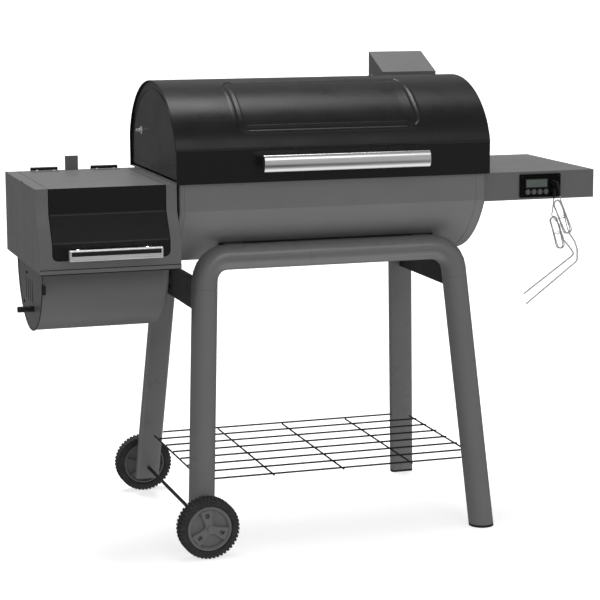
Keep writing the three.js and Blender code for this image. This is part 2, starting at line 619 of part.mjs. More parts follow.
// The sliding plate behind the vents, with its lever sticking out through the cap
function airShutter() {
  const { leverY, leverZ, leverRadius, leverLength, neckRadius, thickness, y0, y1, z0, z1 } = SHUTTER;
  const x = capX + SHEET + GAP;
  const plate = block(x, x + thickness, y0, y1, z0, z1);
  const neck = rodX(capX - 1, x + 0.5, leverY, leverZ, neckRadius, 12);
  const lever = rodX(capX - leverLength - 2, capX - 0.5, leverY, leverZ, leverRadius, 16);
  return join(cut(plate, ...ventSlots(x - PAST, x + PAST)), neck, lever);
}

add('air_shutter', airShutter(), blackPlastic());

function fanImpeller() {
  const { x, z, radius, width, hubRadius, bladeCount, bladeThickness, bladeHeight, bladeInset } = FAN;
  const disc = rodX(x, x + SHEET, HOUSING.y, z, radius, 24);
  const hub = rodX(x, x + width, HOUSING.y, z, hubRadius, 12);
  const blades = [];
  for (let i = 0; i < bladeCount; i += 1) {
    const blade = new THREE.BoxGeometry(width, bladeThickness, bladeHeight);
    blade.translate(x + width / 2, 0, radius - bladeInset);
    blades.push(blade.rotateX((2 * Math.PI * i) / bladeCount).translate(0, HOUSING.y, z));
  }
  return join(disc, hub, ...blades);
}

function fanMotor() {
  const { x, z, width, motorLength, motorRadius, bracketHalfDepth } = FAN;
  const x0 = x + width + 1;
  const can = rodX(x0, x0 + motorLength, HOUSING.y, z, motorRadius, 20);
  const bracket = block(x0 + PAST, x0 + motorLength - 2 * PAST, HOUSING.y - bracketHalfDepth,
    HOUSING.y + bracketHalfDepth, z, HOPPER.bottomZ - 2 * GAP);
  return join(can, bracket);
}

add('fan_impeller', fanImpeller(), galvanised());
add('fan_motor', fanMotor(), blackPlastic());

// ---------- side shelf and controller ----------
function sideShelf() {
  const { x0, x1, y0, y1, topZ, apron } = SHELF;
  const outer = block(x0, x1, y0, y1, topZ - apron, topZ);
  const hollow = block(x0 + SHEET, x1 - SHEET, y0 + SHEET, y1 - SHEET, topZ - apron - PAST, topZ - SHEET);
  return cut(outer, hollow);
}

add('side_shelf', sideShelf(), greyPaint());

function controllerPanel() {
  const { x0, x1, z0, z1, thickness, corner } = PANEL;
  const back = SHELF.y0 - GAP;
  const plate = alongY(roundedRectangle(x0, x1, z0, z1, corner), back - thickness, back);
  const holes = BUTTON.xs.map((x) => (
    rodY(x, back - 2 * PAST, back + PAST, BUTTON.z, BUTTON.radius + BUTTON.holeGap, 16)));
  return cut(plate, ...holes);
}

add('controller_panel', controllerPanel(), blackPlastic());

const panelFaceY = SHELF.y0 - GAP - PANEL.thickness;
BUTTON.xs.forEach((x, index) => {
  const button = rodY(x, panelFaceY - BUTTON.height, panelFaceY + BUTTON.root, BUTTON.z, BUTTON.radius, 16);
  add(`controller_button_${index + 1}`, button, greyPlastic());
});

// ---------- food probes on their cables ----------
const vec = (x, y, z) => new THREE.Vector3(x, y, z);
const PROBES = [
  {
    y: -248, jackZ: JACK.zs[0], plugTop: [598, 883], plugEnd: [607.5, 846],
    lead: [[607.5, 846], [608.3, 840.5], [609.6, 835]],
    hank: [[601, 824], [630, 757]], hankHalfWidth: 11,
    rod: [[635.5, 746.8], [652, 724], [659.5, 703], [660, 673], [516, 566.5]], bend: 14,
  },
  {
    y: -235, jackZ: JACK.zs[1], plugTop: [598, 861], plugEnd: [596, 838],
    lead: [[596, 838], [594.5, 822], [592.9, 806], [592.6, 791.2]],
    hank: [[597, 780], [617, 716]], hankHalfWidth: 10,
    rod: [[628.5, 725], [642, 710], [657.5, 689], [515, 591.5]], bend: 8,
  },
];

const round = (radius, sides) => new THREE.Shape(
  arcPoints(0, 0, radius, radius, 0, 2 * Math.PI * ((sides - 1) / sides), sides - 1));

PROBES.forEach((probe, index) => {
  const at = ([x, z]) => vec(x, probe.y, z);
  const [top, end] = [at(probe.plugTop), at(probe.plugEnd)];
  const stub = rodY(JACK.x, probe.y, panelFaceY - GAP, probe.jackZ, JACK.radius, 12);
  const body = sweep(round(PLUG_RADIUS, 12), [top, end]);
  add(`probe_plug_${index + 1}`, join(stub, body), blackPlastic());

  const lead = probe.lead.map(at);
  lead[0].addScaledVector(end.clone().sub(top).normalize(), GAP);
  add(`probe_lead_${index + 1}`, sweep(round(CABLE_RADIUS, 8), lead), braid());

  const [hankTop, hankBottom] = probe.hank.map(at);
  const half = hankTop.distanceTo(hankBottom) / 2;
  const width = probe.hankHalfWidth;
  const stadium = roundedRectangle(-width, width, -half - width, half + width, width - 0.01, 4);
  const lean = Math.atan2(hankBottom.x - hankTop.x, hankTop.z - hankBottom.z);
  const hank = alongY(stadium, -HANK_THICKNESS / 2, HANK_THICKNESS / 2).rotateY(-lean);
  const middle = hankTop.clone().add(hankBottom).multiplyScalar(0.5);
  add(`probe_hank_${index + 1}`, hank.translate(middle.x, middle.y, middle.z), braid());

  const rodRoute = roundCorners(probe.rod.map(at), probe.bend, 4);
  add(`probe_rod_${index + 1}`, sweep(round(PROBE_RADIUS, 8), rodRoute), stainless());
});

// ---------- stand ----------
// The tube's section: round towards the outside (+u), flat towards the barrel
function tubeSection(inset) {
  const half = TUBE.halfWidth - inset;
  const flat = -(TUBE.flatDepth - inset);
  const corner = TUBE.corner - inset;
  return new THREE.Shape([
    ...arcPoints(0, 0, half, half, -Math.PI / 2, Math.PI / 2, 10),
    ...arcPoints(flat + corner, half - corner, corner, corner, Math.PI / 2, Math.PI, 2),
    ...arcPoints(flat + corner, corner - half, corner, corner, Math.PI, 1.5 * Math.PI, 2),
  ]);
}

const lean = Math.atan2(STAND.footY - STAND.topY, STAND.topZ);
const alongLean = (z) => (z - STAND.topZ) / Math.cos(lean);
const legX = (z) => STAND.footX + ((STAND.topX - STAND.footX) * z) / STAND.topZ;

// Half of the stand in its own leaning plane: local Z runs up the legs, -Y points outwards
function leaningPlane(turn) {
  const side = new THREE.Group();
  side.rotation.z = turn;
  grill.add(side);
  const plane = new THREE.Group();
  plane.position.set(0, -STAND.topY, STAND.topZ);
  plane.rotation.x = -lean;
  side.add(plane);
  grill.updateMatrixWorld(true);
  return plane;
}

const inPlane = (geometry, plane) => geometry.applyMatrix4(plane.matrixWorld.clone().invert());
const localPoint = (side, z) => vec(side * legX(z), 0, alongLean(z));

// A pad on the tube at x that carries the barrel, its top hollowed to the barrel's belly
function barrelPad(plane, front, x) {
  const [y0, y1] = front ? [-STAND.topY, PAD.reach - STAND.topY] : [STAND.topY - PAD.reach, STAND.topY];
  const pad = block(x - PAD.halfWidth, x + PAD.halfWidth, y0, y1, PAD.z0, PAD.z1);
  const outline = new THREE.Shape(troughOutline(-GAP, BARREL.arcZ + FAR_PAST));
  const belly = alongX(outline, x - FAR_PAST, x + FAR_PAST);
  return inPlane(cut(pad, belly), plane);
}

function topTube(plane, front) {
  const route = (endZ) => [localPoint(-1, endZ), localPoint(-1, STAND.topZ), localPoint(1, STAND.topZ),
    localPoint(1, endZ)];
  const outer = sweep(tubeSection(0), roundCorners(route(STAND.seamZ), STAND.bend, 6));
  const bore = sweep(tubeSection(TUBE.wall), roundCorners(route(STAND.seamZ - 4 * PAST), STAND.bend, 6));
  const pads = [-PAD.x, PAD.x].map((x) => barrelPad(plane, front, x));
  return cut(join(outer, ...pads), bore);
}

const halfSpace = (plane, z0, z1) => inPlane(block(-900, 900, -900, 900, z0, z1), plane);

// A leg tube from the seam down to the level endZ, with any further cuts
function leg(plane, side, endZ, ...holes) {
  const tube = sweep(tubeSection(0), [localPoint(side, STAND.seamZ - GAP - 0.1), localPoint(side, -30)]);
  const boreRoute = [localPoint(side, STAND.seamZ + 4 * PAST), localPoint(side, -FAR_PAST)];
  const bore = sweep(tubeSection(TUBE.wall), boreRoute);
  return cut(tube, bore, halfSpace(plane, -300, endZ), ...holes);
}

function footCap(plane, side) {
  const { capHeight, capPlugTop, capPlugBottom, capPlugGap } = STAND;
  const solid = sweep(tubeSection(0), [localPoint(side, 40), localPoint(side, -30)]);
  const plugRoute = [localPoint(side, capPlugTop), localPoint(side, capPlugBottom)];
  const plug = sweep(tubeSection(TUBE.wall + capPlugGap), plugRoute);
  const cap = cut(solid, halfSpace(plane, capHeight, 300));
  return cut(join(cap, plug), halfSpace(plane, -300, 0));
}

for (const front of [true, false]) {
  const plane = leaningPlane(front ? 0 : Math.PI);
  const where = front ? 'front' : 'rear';
  const leftSide = front ? -1 : 1;
  add(`${where}_top_tube`, topTube(plane, front), greyPaint(), plane);
  const axleRoom = WHEEL.axleRadius + GAP;
  const axleHole = inPlane(rodY(WHEEL.x, -WHEEL.axleEnd, WHEEL.axleEnd, WHEEL.radius, axleRoom, 20), plane);
  add(`${where}_leg_left`, leg(plane, leftSide, STAND.leftEndZ, axleHole), greyPaint(), plane);
  add(`${where}_leg_right`, leg(plane, -leftSide, STAND.capHeight + GAP), greyPaint(), plane);
  add(`${where}_foot_cap`, footCap(plane, -leftSide), blackPlastic(), plane);
}

// A folded plate between the front and rear leg, its ends cut to the legs' lean
function sideBrace(x, z0, flangeSide) {
  const innerY = (z) => STAND.footY - ((STAND.footY - STAND.topY) * z) / STAND.topZ
    - TUBE.flatDepth / Math.cos(lean) - GAP - 0.2;
  const z1 = z0 + BRACE.height;
  const web = new THREE.Shape([point(-innerY(z0), z0), point(innerY(z0), z0), point(innerY(z1), z1),
    point(-innerY(z1), z1)]);
  const plate = alongX(web, x - BRACE.thickness / 2, x + BRACE.thickness / 2);
  const flangeX = flangeSide * BRACE.flange;
  const flange = block(Math.min(x, x + flangeX), Math.max(x, x + flangeX), -innerY(z1) + 1, innerY(z1) - 1,
    z1 - BRACE.thickness, z1);
  return join(plate, flange);
}

add('side_brace_left', sideBrace(BRACE.leftX, BRACE.leftZ, 1), blackPaint());
add('side_brace_right', sideBrace(BRACE.rightX, BRACE.rightZ, -1), blackPaint());

// ---------- wire rack ----------
function wireRack() {
  const { z, wire, firstX, pitchX, crossCount, pitchY, longCount, crossEndY, frontEndX } = RACK;
  const wires = [];
  const lastX = firstX + pitchX * (crossCount - 1);
  for (let i = 0; i < longCount; i += 1) {
    const y = (i - (longCount - 1) / 2) * pitchY;
    const outermost = i === 0 || i === longCount - 1;
    const ends = outermost ? [-frontEndX, frontEndX] : [firstX, lastX];
    wires.push(rodX(ends[0], ends[1], y, z, wire, 6));
  }
  const outerY = ((longCount - 1) / 2) * pitchY;
  for (let i = 0; i < crossCount; i += 1) {
    const atEnd = i === 0 || i === crossCount - 1;
    const endY = atEnd ? crossEndY : outerY;
    wires.push(rodY(firstX + i * pitchX, -endY, endY, z - 2 * wire + 1, wire + 0.3, 6));
  }
  return join(...wires);
}

add('wire_rack', wireRack(), blackPaint());

// ---------- axle and wheels ----------
add('axle_rod', rodY(WHEEL.x, -WHEEL.axleEnd, WHEEL.axleEnd, WHEEL.radius, WHEEL.axleRadius, 16), blackPaint());

function tyre() {
  const { radius, width, hubRadius } = WHEEL;
  const half = width / 2;
  const profile = [point(hubRadius, -half + 3), point(radius - 8, -half), point(radius - 2, -half + 4),
    point(radius, -half + 10), point(radius, half - 10), point(radius - 2, half - 4), point(radius - 8, half),
    point(hubRadius, half - 3), point(hubRadius, -half + 3)];
  return new THREE.LatheGeometry(profile, 28);
}

function hub() {
  const { width, hubRadius, axleRadius, axleGap, hubRecess, hubBossRadius } = WHEEL;
  const [front, back] = [width / 2 - 1, 4 - width / 2];
  const bore = axleRadius + axleGap;
  const rim = hubRadius - GAP;
  const recess = hubRecess - width / 2;
  const profile = [point(bore, back), point(hubBossRadius, back), point(hubBossRadius + 2, recess),
    point(rim - 6, recess), point(rim - 4, back), point(rim, back), point(rim, front - 2), point(rim - 8, front),
    point(bore, front), point(bore, back)];
  return new THREE.LatheGeometry(profile, 28);
}

for (const front of [true, false]) {
  const where = front ? 'front' : 'rear';
  const wheel = new THREE.Group();
  wheel.position.set(WHEEL.x, front ? -WHEEL.y : WHEEL.y, WHEEL.radius);
  wheel.rotation.z = front ? Math.PI : 0;
  grill.add(wheel);
  add(`${where}_tyre`, tyre(), tyreRubber(), wheel);
  add(`${where}_hub`, hub(), greyPlastic(), wheel);
}

// The origin is under the middle of the width, from the air lever's end to the shelf's end
const leverEndX = capX - SHUTTER.leverLength - 2;
grill.position.x = -(leverEndX + SHELF.x1) / 2;

export default grill;
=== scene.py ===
import json
import math
from types import SimpleNamespace as Sizes

import bmesh
import bpy
from mathutils import Matrix, Vector


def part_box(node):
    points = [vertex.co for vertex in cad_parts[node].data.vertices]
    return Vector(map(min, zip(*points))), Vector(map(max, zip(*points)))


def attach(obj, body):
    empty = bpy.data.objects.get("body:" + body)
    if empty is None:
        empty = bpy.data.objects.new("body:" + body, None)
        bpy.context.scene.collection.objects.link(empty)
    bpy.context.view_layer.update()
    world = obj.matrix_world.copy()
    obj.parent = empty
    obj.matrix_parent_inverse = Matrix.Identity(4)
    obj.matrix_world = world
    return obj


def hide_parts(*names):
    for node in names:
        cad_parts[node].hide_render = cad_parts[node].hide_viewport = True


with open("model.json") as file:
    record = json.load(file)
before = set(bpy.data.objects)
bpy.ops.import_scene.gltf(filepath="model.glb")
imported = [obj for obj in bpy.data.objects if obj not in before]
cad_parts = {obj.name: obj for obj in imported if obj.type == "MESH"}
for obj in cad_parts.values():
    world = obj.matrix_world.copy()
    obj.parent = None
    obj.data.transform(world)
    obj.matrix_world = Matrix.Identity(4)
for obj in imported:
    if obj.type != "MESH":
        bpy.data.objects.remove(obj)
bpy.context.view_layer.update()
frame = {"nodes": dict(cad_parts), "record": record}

# The looks of a pellet smoker grill around its fixed frame. Metres, +Z up, the front faces -Y.
# Places come from the frame. Lengths that belong to one detail are named beside it.

body_of_node = {
    node: body
    for body, nodes in frame["record"]["behaviour"]["bodies"].items()
    for node in nodes
}

STAND = "stand_and_barrel"
trough_low, trough_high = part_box("body_shell")
MIDDLE_X = (trough_low.x + trough_high.x) / 2
MIDDLE_Y = (trough_low.y + trough_high.y) / 2


def at(x, y, z):
    """A point given by its distance from the middle of the barrel's length, in the row frame."""
    return Vector((MIDDLE_X + x, y, z))


# ---------- camera ----------
CAMERA = Sizes(sensor=36, lens=121.93, shift=(-0.0832, 0.0038), place=(-1.5803, -5.0168, 1.4677),
               tilt=80.22, turn=-19.05, far=500)


def make_camera():
    data = bpy.data.cameras.new("camera")
    data.sensor_width = CAMERA.sensor
    data.lens = CAMERA.lens
    data.shift_x, data.shift_y = CAMERA.shift
    data.clip_end = CAMERA.far
    camera = bpy.data.objects.new("camera", data)
    camera.location = CAMERA.place
    camera.rotation_euler = (math.radians(CAMERA.tilt), 0, math.radians(CAMERA.turn))
    bpy.context.scene.collection.objects.link(camera)
    bpy.context.scene.camera = camera


make_camera()


# ---------- procedural finishes ----------
def fill(tree, node, sockets):
    """Gives each named socket of a node a constant, or the output of another node."""
    for name, value in sockets.items():
        if isinstance(value, bpy.types.NodeSocket):
            tree.links.new(value, node.inputs[name])
        else:
            node.inputs[name].default_value = value


def add_node(tree, kind, sockets, output, **settings):
    """A new shader node with its sockets filled; gives back one of its outputs."""
    node = tree.nodes.new(kind)
    for name, value in settings.items():
        setattr(node, name, value)
    fill(tree, node, sockets)
    return node.outputs[output]


FINISHES = {}


class Finish:
    """A procedural material: one Principled shader with noise on its colour, roughness and bump."""

    def __init__(self, name, metallic=0.0, specular=0.5):
        self.material = FINISHES[name] = bpy.data.materials.new(name)
        self.material.use_nodes = True
        self.tree = self.material.node_tree
        self.shade({"Metallic": metallic, "Specular IOR Level": specular})
        self.place = self.add("ShaderNodeTexCoord", {}, "Object")
        self.normal = None

    def shade(self, sockets):
        fill(self.tree, self.tree.nodes["Principled BSDF"], sockets)

    def add(self, kind, sockets, output, **settings):
        return add_node(self.tree, kind, sockets, output, **settings)

    def stretched(self, stretch):
        return self.add("ShaderNodeMapping", {"Scale": stretch, "Vector": self.place}, "Vector")

    def noise(self, scale, detail=3, stretch=(1, 1, 1)):
        sockets = {"Scale": scale, "Detail": detail, "Vector": self.stretched(stretch)}
        return self.add("ShaderNodeTexNoise", sockets, "Fac")

    def cells(self, scale, output="Distance"):
        sockets = {"Scale": scale, "Vector": self.stretched((1, 1, 1))}
        return self.add("ShaderNodeTexVoronoi", sockets, output)

    def spread(self, value, low, high, start=0.3, end=0.7):
        sockets = {"Value": value, "From Min": start, "From Max": end, "To Min": low, "To Max": high}
        return self.add("ShaderNodeMapRange", sockets, "Result")

    def product(self, first, second):
        return self.add("ShaderNodeMath", {0: first, 1: second}, "Value", operation="MULTIPLY")

    def colour(self, dark, light, value):
        ramp = self.tree.nodes.new("ShaderNodeValToRGB")
        for element, shade, position in zip(ramp.color_ramp.elements, (dark, light), (0.0, 1.0)):
            element.position = position
            element.color = (*shade, 1)
        fill(self.tree, ramp, {"Fac": value})
        self.shade({"Base Color": ramp.outputs["Color"]})

    def roughness(self, value):
        self.shade({"Roughness": value})

    def bump(self, height, strength, distance):
        sockets = {"Strength": strength, "Distance": distance, "Height": height}
        if self.normal is not None:
            sockets["Normal"] = self.normal
        self.normal = self.add("ShaderNodeBump", sockets, "Normal")
        self.shade({"Normal": self.normal})


def grey(value):
    return (value, value, value)


def painted(name, shade, rough, grain, specular):
    """Baked paint: an orange-peel skin, a fine grain, faint clouding and handling marks."""
    finish = Finish(name, specular=specular)
    clouds = finish.noise(5, 4)
    speckle = finish.noise(900, 2)
    mix = finish.product(finish.spread(clouds, 0.8, 1.0), finish.spread(speckle, 0.72, 1.0))
    finish.colour(grey(shade * 0.62), grey(shade * 1.18), mix)
    marks = finish.spread(finish.noise(14, 6), 0.86, 1.1)
    marks = finish.product(marks, finish.spread(speckle, 0.92, 1.06))
    finish.roughness(finish.product(marks, rough))
    finish.bump(finish.noise(260, 2), 0.10, 0.0006)
    finish.bump(finish.noise(1500, 2), grain, 0.0003)


def polished(name, shade, rough, lines, metallic=1.0):
    """Bright stainless steel with fine drawing lines along X."""
    finish = Finish(name, metallic=metallic)
    streaks = finish.noise(900, 3, (0.012, 1, 1))
    haze = finish.noise(9, 4)
    finish.colour(grey(shade * 0.86), grey(shade * 1.04), streaks)
    finish.roughness(finish.product(finish.spread(streaks, rough * 0.7, rough * 1.3),
                                    finish.spread(haze, 0.8, 1.25)))
    finish.bump(streaks, lines, 0.0001)


def galvanised():
    """Zinc-coated sheet with its crystal spangle."""
    finish = Finish("galvanised_steel", metallic=0.9)
    spangle = finish.cells(90, "Color")
    finish.colour(grey(0.24), grey(0.46), spangle)
    finish.roughness(finish.spread(spangle, 0.32, 0.55, 0.0, 1.0))
    finish.bump(finish.noise(420, 3), 0.12, 0.0003)


def enamelled():
    """Black porcelain enamel over a cast grate."""
    finish = Finish("enamelled_grate", specular=0.55)
    pits = finish.noise(420, 4)
    finish.colour(grey(0.008), grey(0.03), finish.spread(finish.noise(30, 5), 0.0, 1.0))
    finish.roughness(finish.spread(pits, 0.2, 0.5))
    finish.bump(pits, 0.35, 0.0005)


def moulded(name, shade, rough, grain=0.2, specular=0.4):
    """Injection-moulded plastic with a spark-eroded grain."""
    finish = Finish(name, specular=specular)
    spark = finish.noise(1900, 2)
    mix = finish.product(finish.spread(finish.noise(24, 4), 0.72, 1.0), finish.spread(spark, 0.8, 1.0))
    finish.colour(grey(shade * 0.7), grey(shade * 1.15), mix)
    finish.roughness(finish.spread(spark, rough * 0.88, rough * 1.12))
    finish.bump(spark, grain, 0.0003)


def rubber():
    """Tyre rubber, dull, with dust in its pores."""
    finish = Finish("tyre_rubber", specular=0.3)
    dust = finish.noise(70, 6)
    pores = finish.noise(1300, 3)
    finish.colour(grey(0.030), grey(0.100), finish.product(finish.spread(dust, 0.3, 1.0), pores))
    finish.roughness(finish.spread(pores, 0.68, 0.92))
    finish.bump(pores, 0.4, 0.0004)


def display():
    """The controller's display under its clear window."""
    finish = Finish("display_window", specular=0.5)
    glass = finish.noise(60, 3)
    finish.colour((0.12, 0.155, 0.13), (0.16, 0.20, 0.17), glass)
    finish.roughness(finish.spread(glass, 0.12, 0.2))
    finish.bump(finish.noise(2600, 1), 0.04, 0.0001)
    finish.shade({"Coat Weight": 0.6, "Coat Roughness": 0.08})


def braided():
    """Stainless wire braid over the probe cable."""
    finish = Finish("braided_cable", metallic=0.2)
    wires = finish.cells(1500)
    finish.colour(grey(0.72), grey(0.96), finish.spread(wires, 1.0, 0.0, 0.1, 0.6))
    finish.roughness(finish.spread(wires, 0.3, 0.48, 0.1, 0.7))
    finish.bump(wires, 0.5, 0.0004)


painted("grey_powder_coat", 0.211, 0.38, 0.12, 0.34)
# Lighter and darker copies of the grey powder coat, which the barrel and the air housing carry alike:
# painted light on the barrel, painted shade on the housing.
painted("grey_powder_coat_painted_lighter", 0.258, 0.38, 0.12, 0.34)
painted("grey_powder_coat_painted_darker", 0.162, 0.38, 0.12, 0.34)
painted("tube_powder_coat", 0.211, 0.31, 0.06, 1.0)
painted("black_satin_paint", 0.0105, 0.30, 0.07, 0.32)
painted("black_metal", 0.009, 0.46, 0.14, 0.32)
polished("stainless_steel", 0.95, 0.32, 0.3, 0.35)
polished("probe_steel", 0.86, 0.40, 0.3, 0.2)
polished("polished_handle", 0.92, 0.17, 0.12)
galvanised()
enamelled()
moulded("black_plastic", 0.012, 0.42)
moulded("controller_face", 0.003, 0.36, 0.1, 0.1)
moulded("button_rubber", 0.17, 0.62)
moulded("hub_plastic", 0.215, 0.46, 0.16)
rubber()
braided()
display()


# ---------- making pieces ----------
def set_edges(mesh_data, sharp_angle):
    """Smooth faces, with the edges that turn by more than the angle kept sharp."""
    bm = bmesh.new()
    bm.from_mesh(mesh_data)
    for face in bm.faces:
        face.smooth = True
    for edge in bm.edges:
        edge.smooth = len(edge.link_faces) == 2 and edge.calc_face_angle(0) < math.radians(sharp_angle)
    bm.normal_update()
    normals = [weighted_normal(loop) for face in bm.faces for loop in face.loops]
    bm.to_mesh(mesh_data)
    bm.free()
    mesh_data.normals_split_custom_set(normals)


def weighted_normal(start):
    """The normal at a face's corner: that of the faces it meets smoothly, each counted by its area."""
    found = {start.face}
    waiting = [start.face]
    while waiting:
        face = waiting.pop()
        for edge in face.edges:
            if edge.smooth and start.vert in edge.verts:
                for other in edge.link_faces:
                    if other not in found:
                        found.add(other)
                        waiting.append(other)
    total = Vector()
    for face in found:
        total += face.normal * face.calc_area()
    return total.normalized() if total.length > 1e-12 else start.face.normal


def piece(name, bm, slot, body=STAND, sharp_angle=32, outward=True):
    """Turns a finished bmesh into a named piece that rides on a body."""
    if outward:
        bmesh.ops.recalc_face_normals(bm, faces=bm.faces)
    data = bpy.data.meshes.new(name)
    bm.to_mesh(data)
    bm.free()
    set_edges(data, sharp_angle)
    data.materials.append(FINISHES[slot])
    obj = bpy.data.objects.new(name, data)
    bpy.context.scene.collection.objects.link(obj)
    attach(obj, body)
    return obj


def facing(centre, direction):
    """The matrix that puts a shape made along +Z at a centre, pointing in a direction."""
    turn = Vector(direction).to_track_quat("Z", "Y").to_matrix().to_4x4()
    return Matrix.Translation(centre) @ turn


def ring(bm, matrix, radius, sides, height):
    """Points round a circle about Z, or one point if there is no radius. The height may be a function."""
    spots = []
    for i in range(sides if radius else 1):
        angle = 2 * math.pi * i / sides
        x, y = radius * math.cos(angle), radius * math.sin(angle)
        z = height(x, y) if callable(height) else height
        spots.append(bm.verts.new(matrix @ Vector((x, y, z))))
    return spots


def bridge(bm, lower, upper):
    """The faces between two rings that have the same number of points, or one point at a tip."""
    count = max(len(lower), len(upper))
    for i in range(count):
        j = (i + 1) % count
        corners = [lower[i % len(lower)], lower[j % len(lower)]]
        corners += [upper[j % len(upper)], upper[i % len(upper)]]
        corners = list(dict.fromkeys(corners))
        if len(corners) > 2:
            bm.faces.new(corners)


def lathe(bm, profile, segments, matrix):
    """A closed or capped body of revolution about Z; the profile holds (radius, height)."""
    rings = [ring(bm, matrix, radius, segments, height) for radius, height in profile]
    for lower, upper in zip(rings, rings[1:]):
        bridge(bm, lower, upper)
    return rings


def closed_lathe(bm, profile, segments, matrix):
    """A ring-shaped body of revolution whose profile closes on itself."""
    rings = lathe(bm, profile, segments, matrix)
    bridge(bm, rings[-1], rings[0])


def turned(bm, profile, centre, direction, segments=28):
    """A body of revolution that starts at a centre and points in a direction."""
    lathe(bm, profile, segments, facing(Vector(centre), direction))


def turned_ring(bm, profile, centre, direction):
    """A ring of revolution that starts at a centre and points in a direction."""
    closed_lathe(bm, profile, 28, facing(Vector(centre), direction))


def cuboid(bm, low, high, bevel=0.0, segments=2, matrix=Matrix.Identity(4)):
    """A block between two corners with rounded edges."""
    low, high = Vector(low), Vector(high)
    made = bmesh.ops.create_cube(bm, size=1.0)["verts"]
    size, middle = high - low, (high + low) / 2
    for vert in made:
        vert.co = Vector((vert.co[k] * size[k] + middle[k] for k in range(3)))
    edges = list(dict.fromkeys(edge for vert in made for edge in vert.link_edges))
    if bevel:
        eased = bmesh.ops.bevel(bm, geom=edges, offset=bevel, segments=segments, profile=0.5,
                                affect="EDGES")["faces"]
        made = {vert for face in eased for vert in face.verts} | {vert for vert in made if vert.is_valid}
    for vert in made:
        vert.co = matrix @ vert.co


def tube(bm, points, radius, sides=10):
    """A round tube with capped ends through a list of points."""
    steps = zip([points[0], *points], [*points[1:], points[-1]])
    tangents = [(after - before).normalized() for before, after in steps]
    normal = tangents[0].orthogonal().normalized()
    rings = []
    for i, here in enumerate(points):
        if i:
            normal = (normal - tangents[i] * normal.dot(tangents[i])).normalized()
        across = tangents[i].cross(normal)
        angles = [2 * math.pi * k / sides for k in range(sides)]
        rings.append([bm.verts.new(here + (normal * math.cos(angle) + across * math.sin(angle)) * radius)
                      for angle in angles])
    for lower, upper in zip(rings, rings[1:]):
        bridge(bm, lower, upper)
    bm.faces.new(rings[0][::-1])
    bm.faces.new(rings[-1])


def smoothed(points, spacing):
    """A Catmull-Rom curve through the points, cut into steps of about the spacing."""
    full = [points[0] * 2 - points[1], *points, points[-1] * 2 - points[-2]]
    curve = []
    for i in range(1, len(full) - 2):
        a, b, c, d = full[i - 1:i + 3]
        steps = max(1, round((c - b).length / spacing))
        for step in range(steps):
            t = step / steps
            curve.append(0.5 * (2 * b + (c - a) * t + (2 * a - 5 * b + 4 * c - d) * t * t
                                + (3 * b - 3 * c + d - a) * t ** 3))
    curve.append(points[-1])
    return curve


# ---------- food probes: the cords ----------
CABLE_DIAMETER = 0.0028
# A turn of the hank: the depth it takes up, the shares of it that a straight run and an arc are, the
# share over which its slant changes, and the points along a run and an arc
HANK = Sizes(layer=0.0030, run_share=0.3, arc_share=0.2, slant_share=0.2, run_steps=5, arc_steps=6)
TIE = Sizes(over=0.0021, deep=0.0067, wire=0.0007, wing=0.0006, rise=0.0004, steps=32)
PROBES = [
    Sizes(
        y=-0.248, lead=[(0.6075, 0.846), (0.6083, 0.8405), (0.6096, 0.835)],
        hank=[(0.601, 0.824), (0.630, 0.757)], radii=[0.0102, 0.0094, 0.0099],
        slants=[0.0, 3.0, -2.5],
        leave=(0.6350, 0.7478), plug_top=(0.598, 0.883), jack=0.879,
    ),
    Sizes(
        y=-0.235, lead=[(0.596, 0.838), (0.5945, 0.822), (0.5929, 0.806), (0.5926, 0.7912)],
        hank=[(0.597, 0.780), (0.617, 0.716)], radii=[0.0095, 0.0093, 0.0094],
        slants=[0.0, 2.5, -2.5],
        leave=(0.6277, 0.7261), plug_top=(0.598, 0.861), jack=0.857,
    ),
]


def hank_frame(probe):
    """The hank's top and bottom, the way down along it and the way across it."""
    top, bottom = (at(x, probe.y, z) for x, z in probe.hank)
    down = (bottom - top).normalized()
    return top, bottom, down, Vector((-down.z, 0, down.x))


def hank_turns(probe):
    """The wound part of a cable: three long turns side by side, then a last run out to the probe."""
    top, bottom, down, side = hank_frame(probe)
    run = (bottom - top).length
    layer = Vector((0, 1, 0))
    points = []
    turns = len(probe.radii)
    slants = [*probe.slants, 0.0]

    def put(across, along, turn):
        number = min(int(turn), turns - 1)
        share = min(max((turn - number) / HANK.slant_share, 0), 1)
        before = slants[number - 1] if number else slants[0]
        slant = math.radians(before + (slants[number] - before) * share)
        lean = (along - run / 2) * math.tan(slant)
        depth = (turn - turns / 2) * HANK.layer
        points.append(top + side * (across + lean) + down * along + layer * depth)

    for turn, radius in enumerate(probe.radii):
        following = probe.radii[min(turn + 1, turns - 1)]
        for half, wider in ((0, 0.0), (1, following - radius)):
            sign, begin = 1 - 2 * half, turn + 0.5 * half
            for step in range(1, HANK.run_steps):
                share = step / HANK.run_steps
                put(sign * radius, run * abs(half - share), begin + HANK.run_share * share)
            for step in range(HANK.arc_steps + 1):
                share = step / HANK.arc_steps
                angle = math.pi * (half + share)
                wide = radius + wider * share
                put(wide * math.cos(angle), run * (1 - half) + wide * math.sin(angle),
                    begin + HANK.run_share + HANK.arc_share * share)
    leave = at(probe.leave[0], probe.y, probe.leave[1])
    start = points[-1]
    for step in range(1, 7):
        share = step / 6
        eased = share * share * (3 - 2 * share)
        ahead = down * (leave - start).dot(down)
        points.append(start + ahead * share + (leave - start - ahead) * eased)
    return points


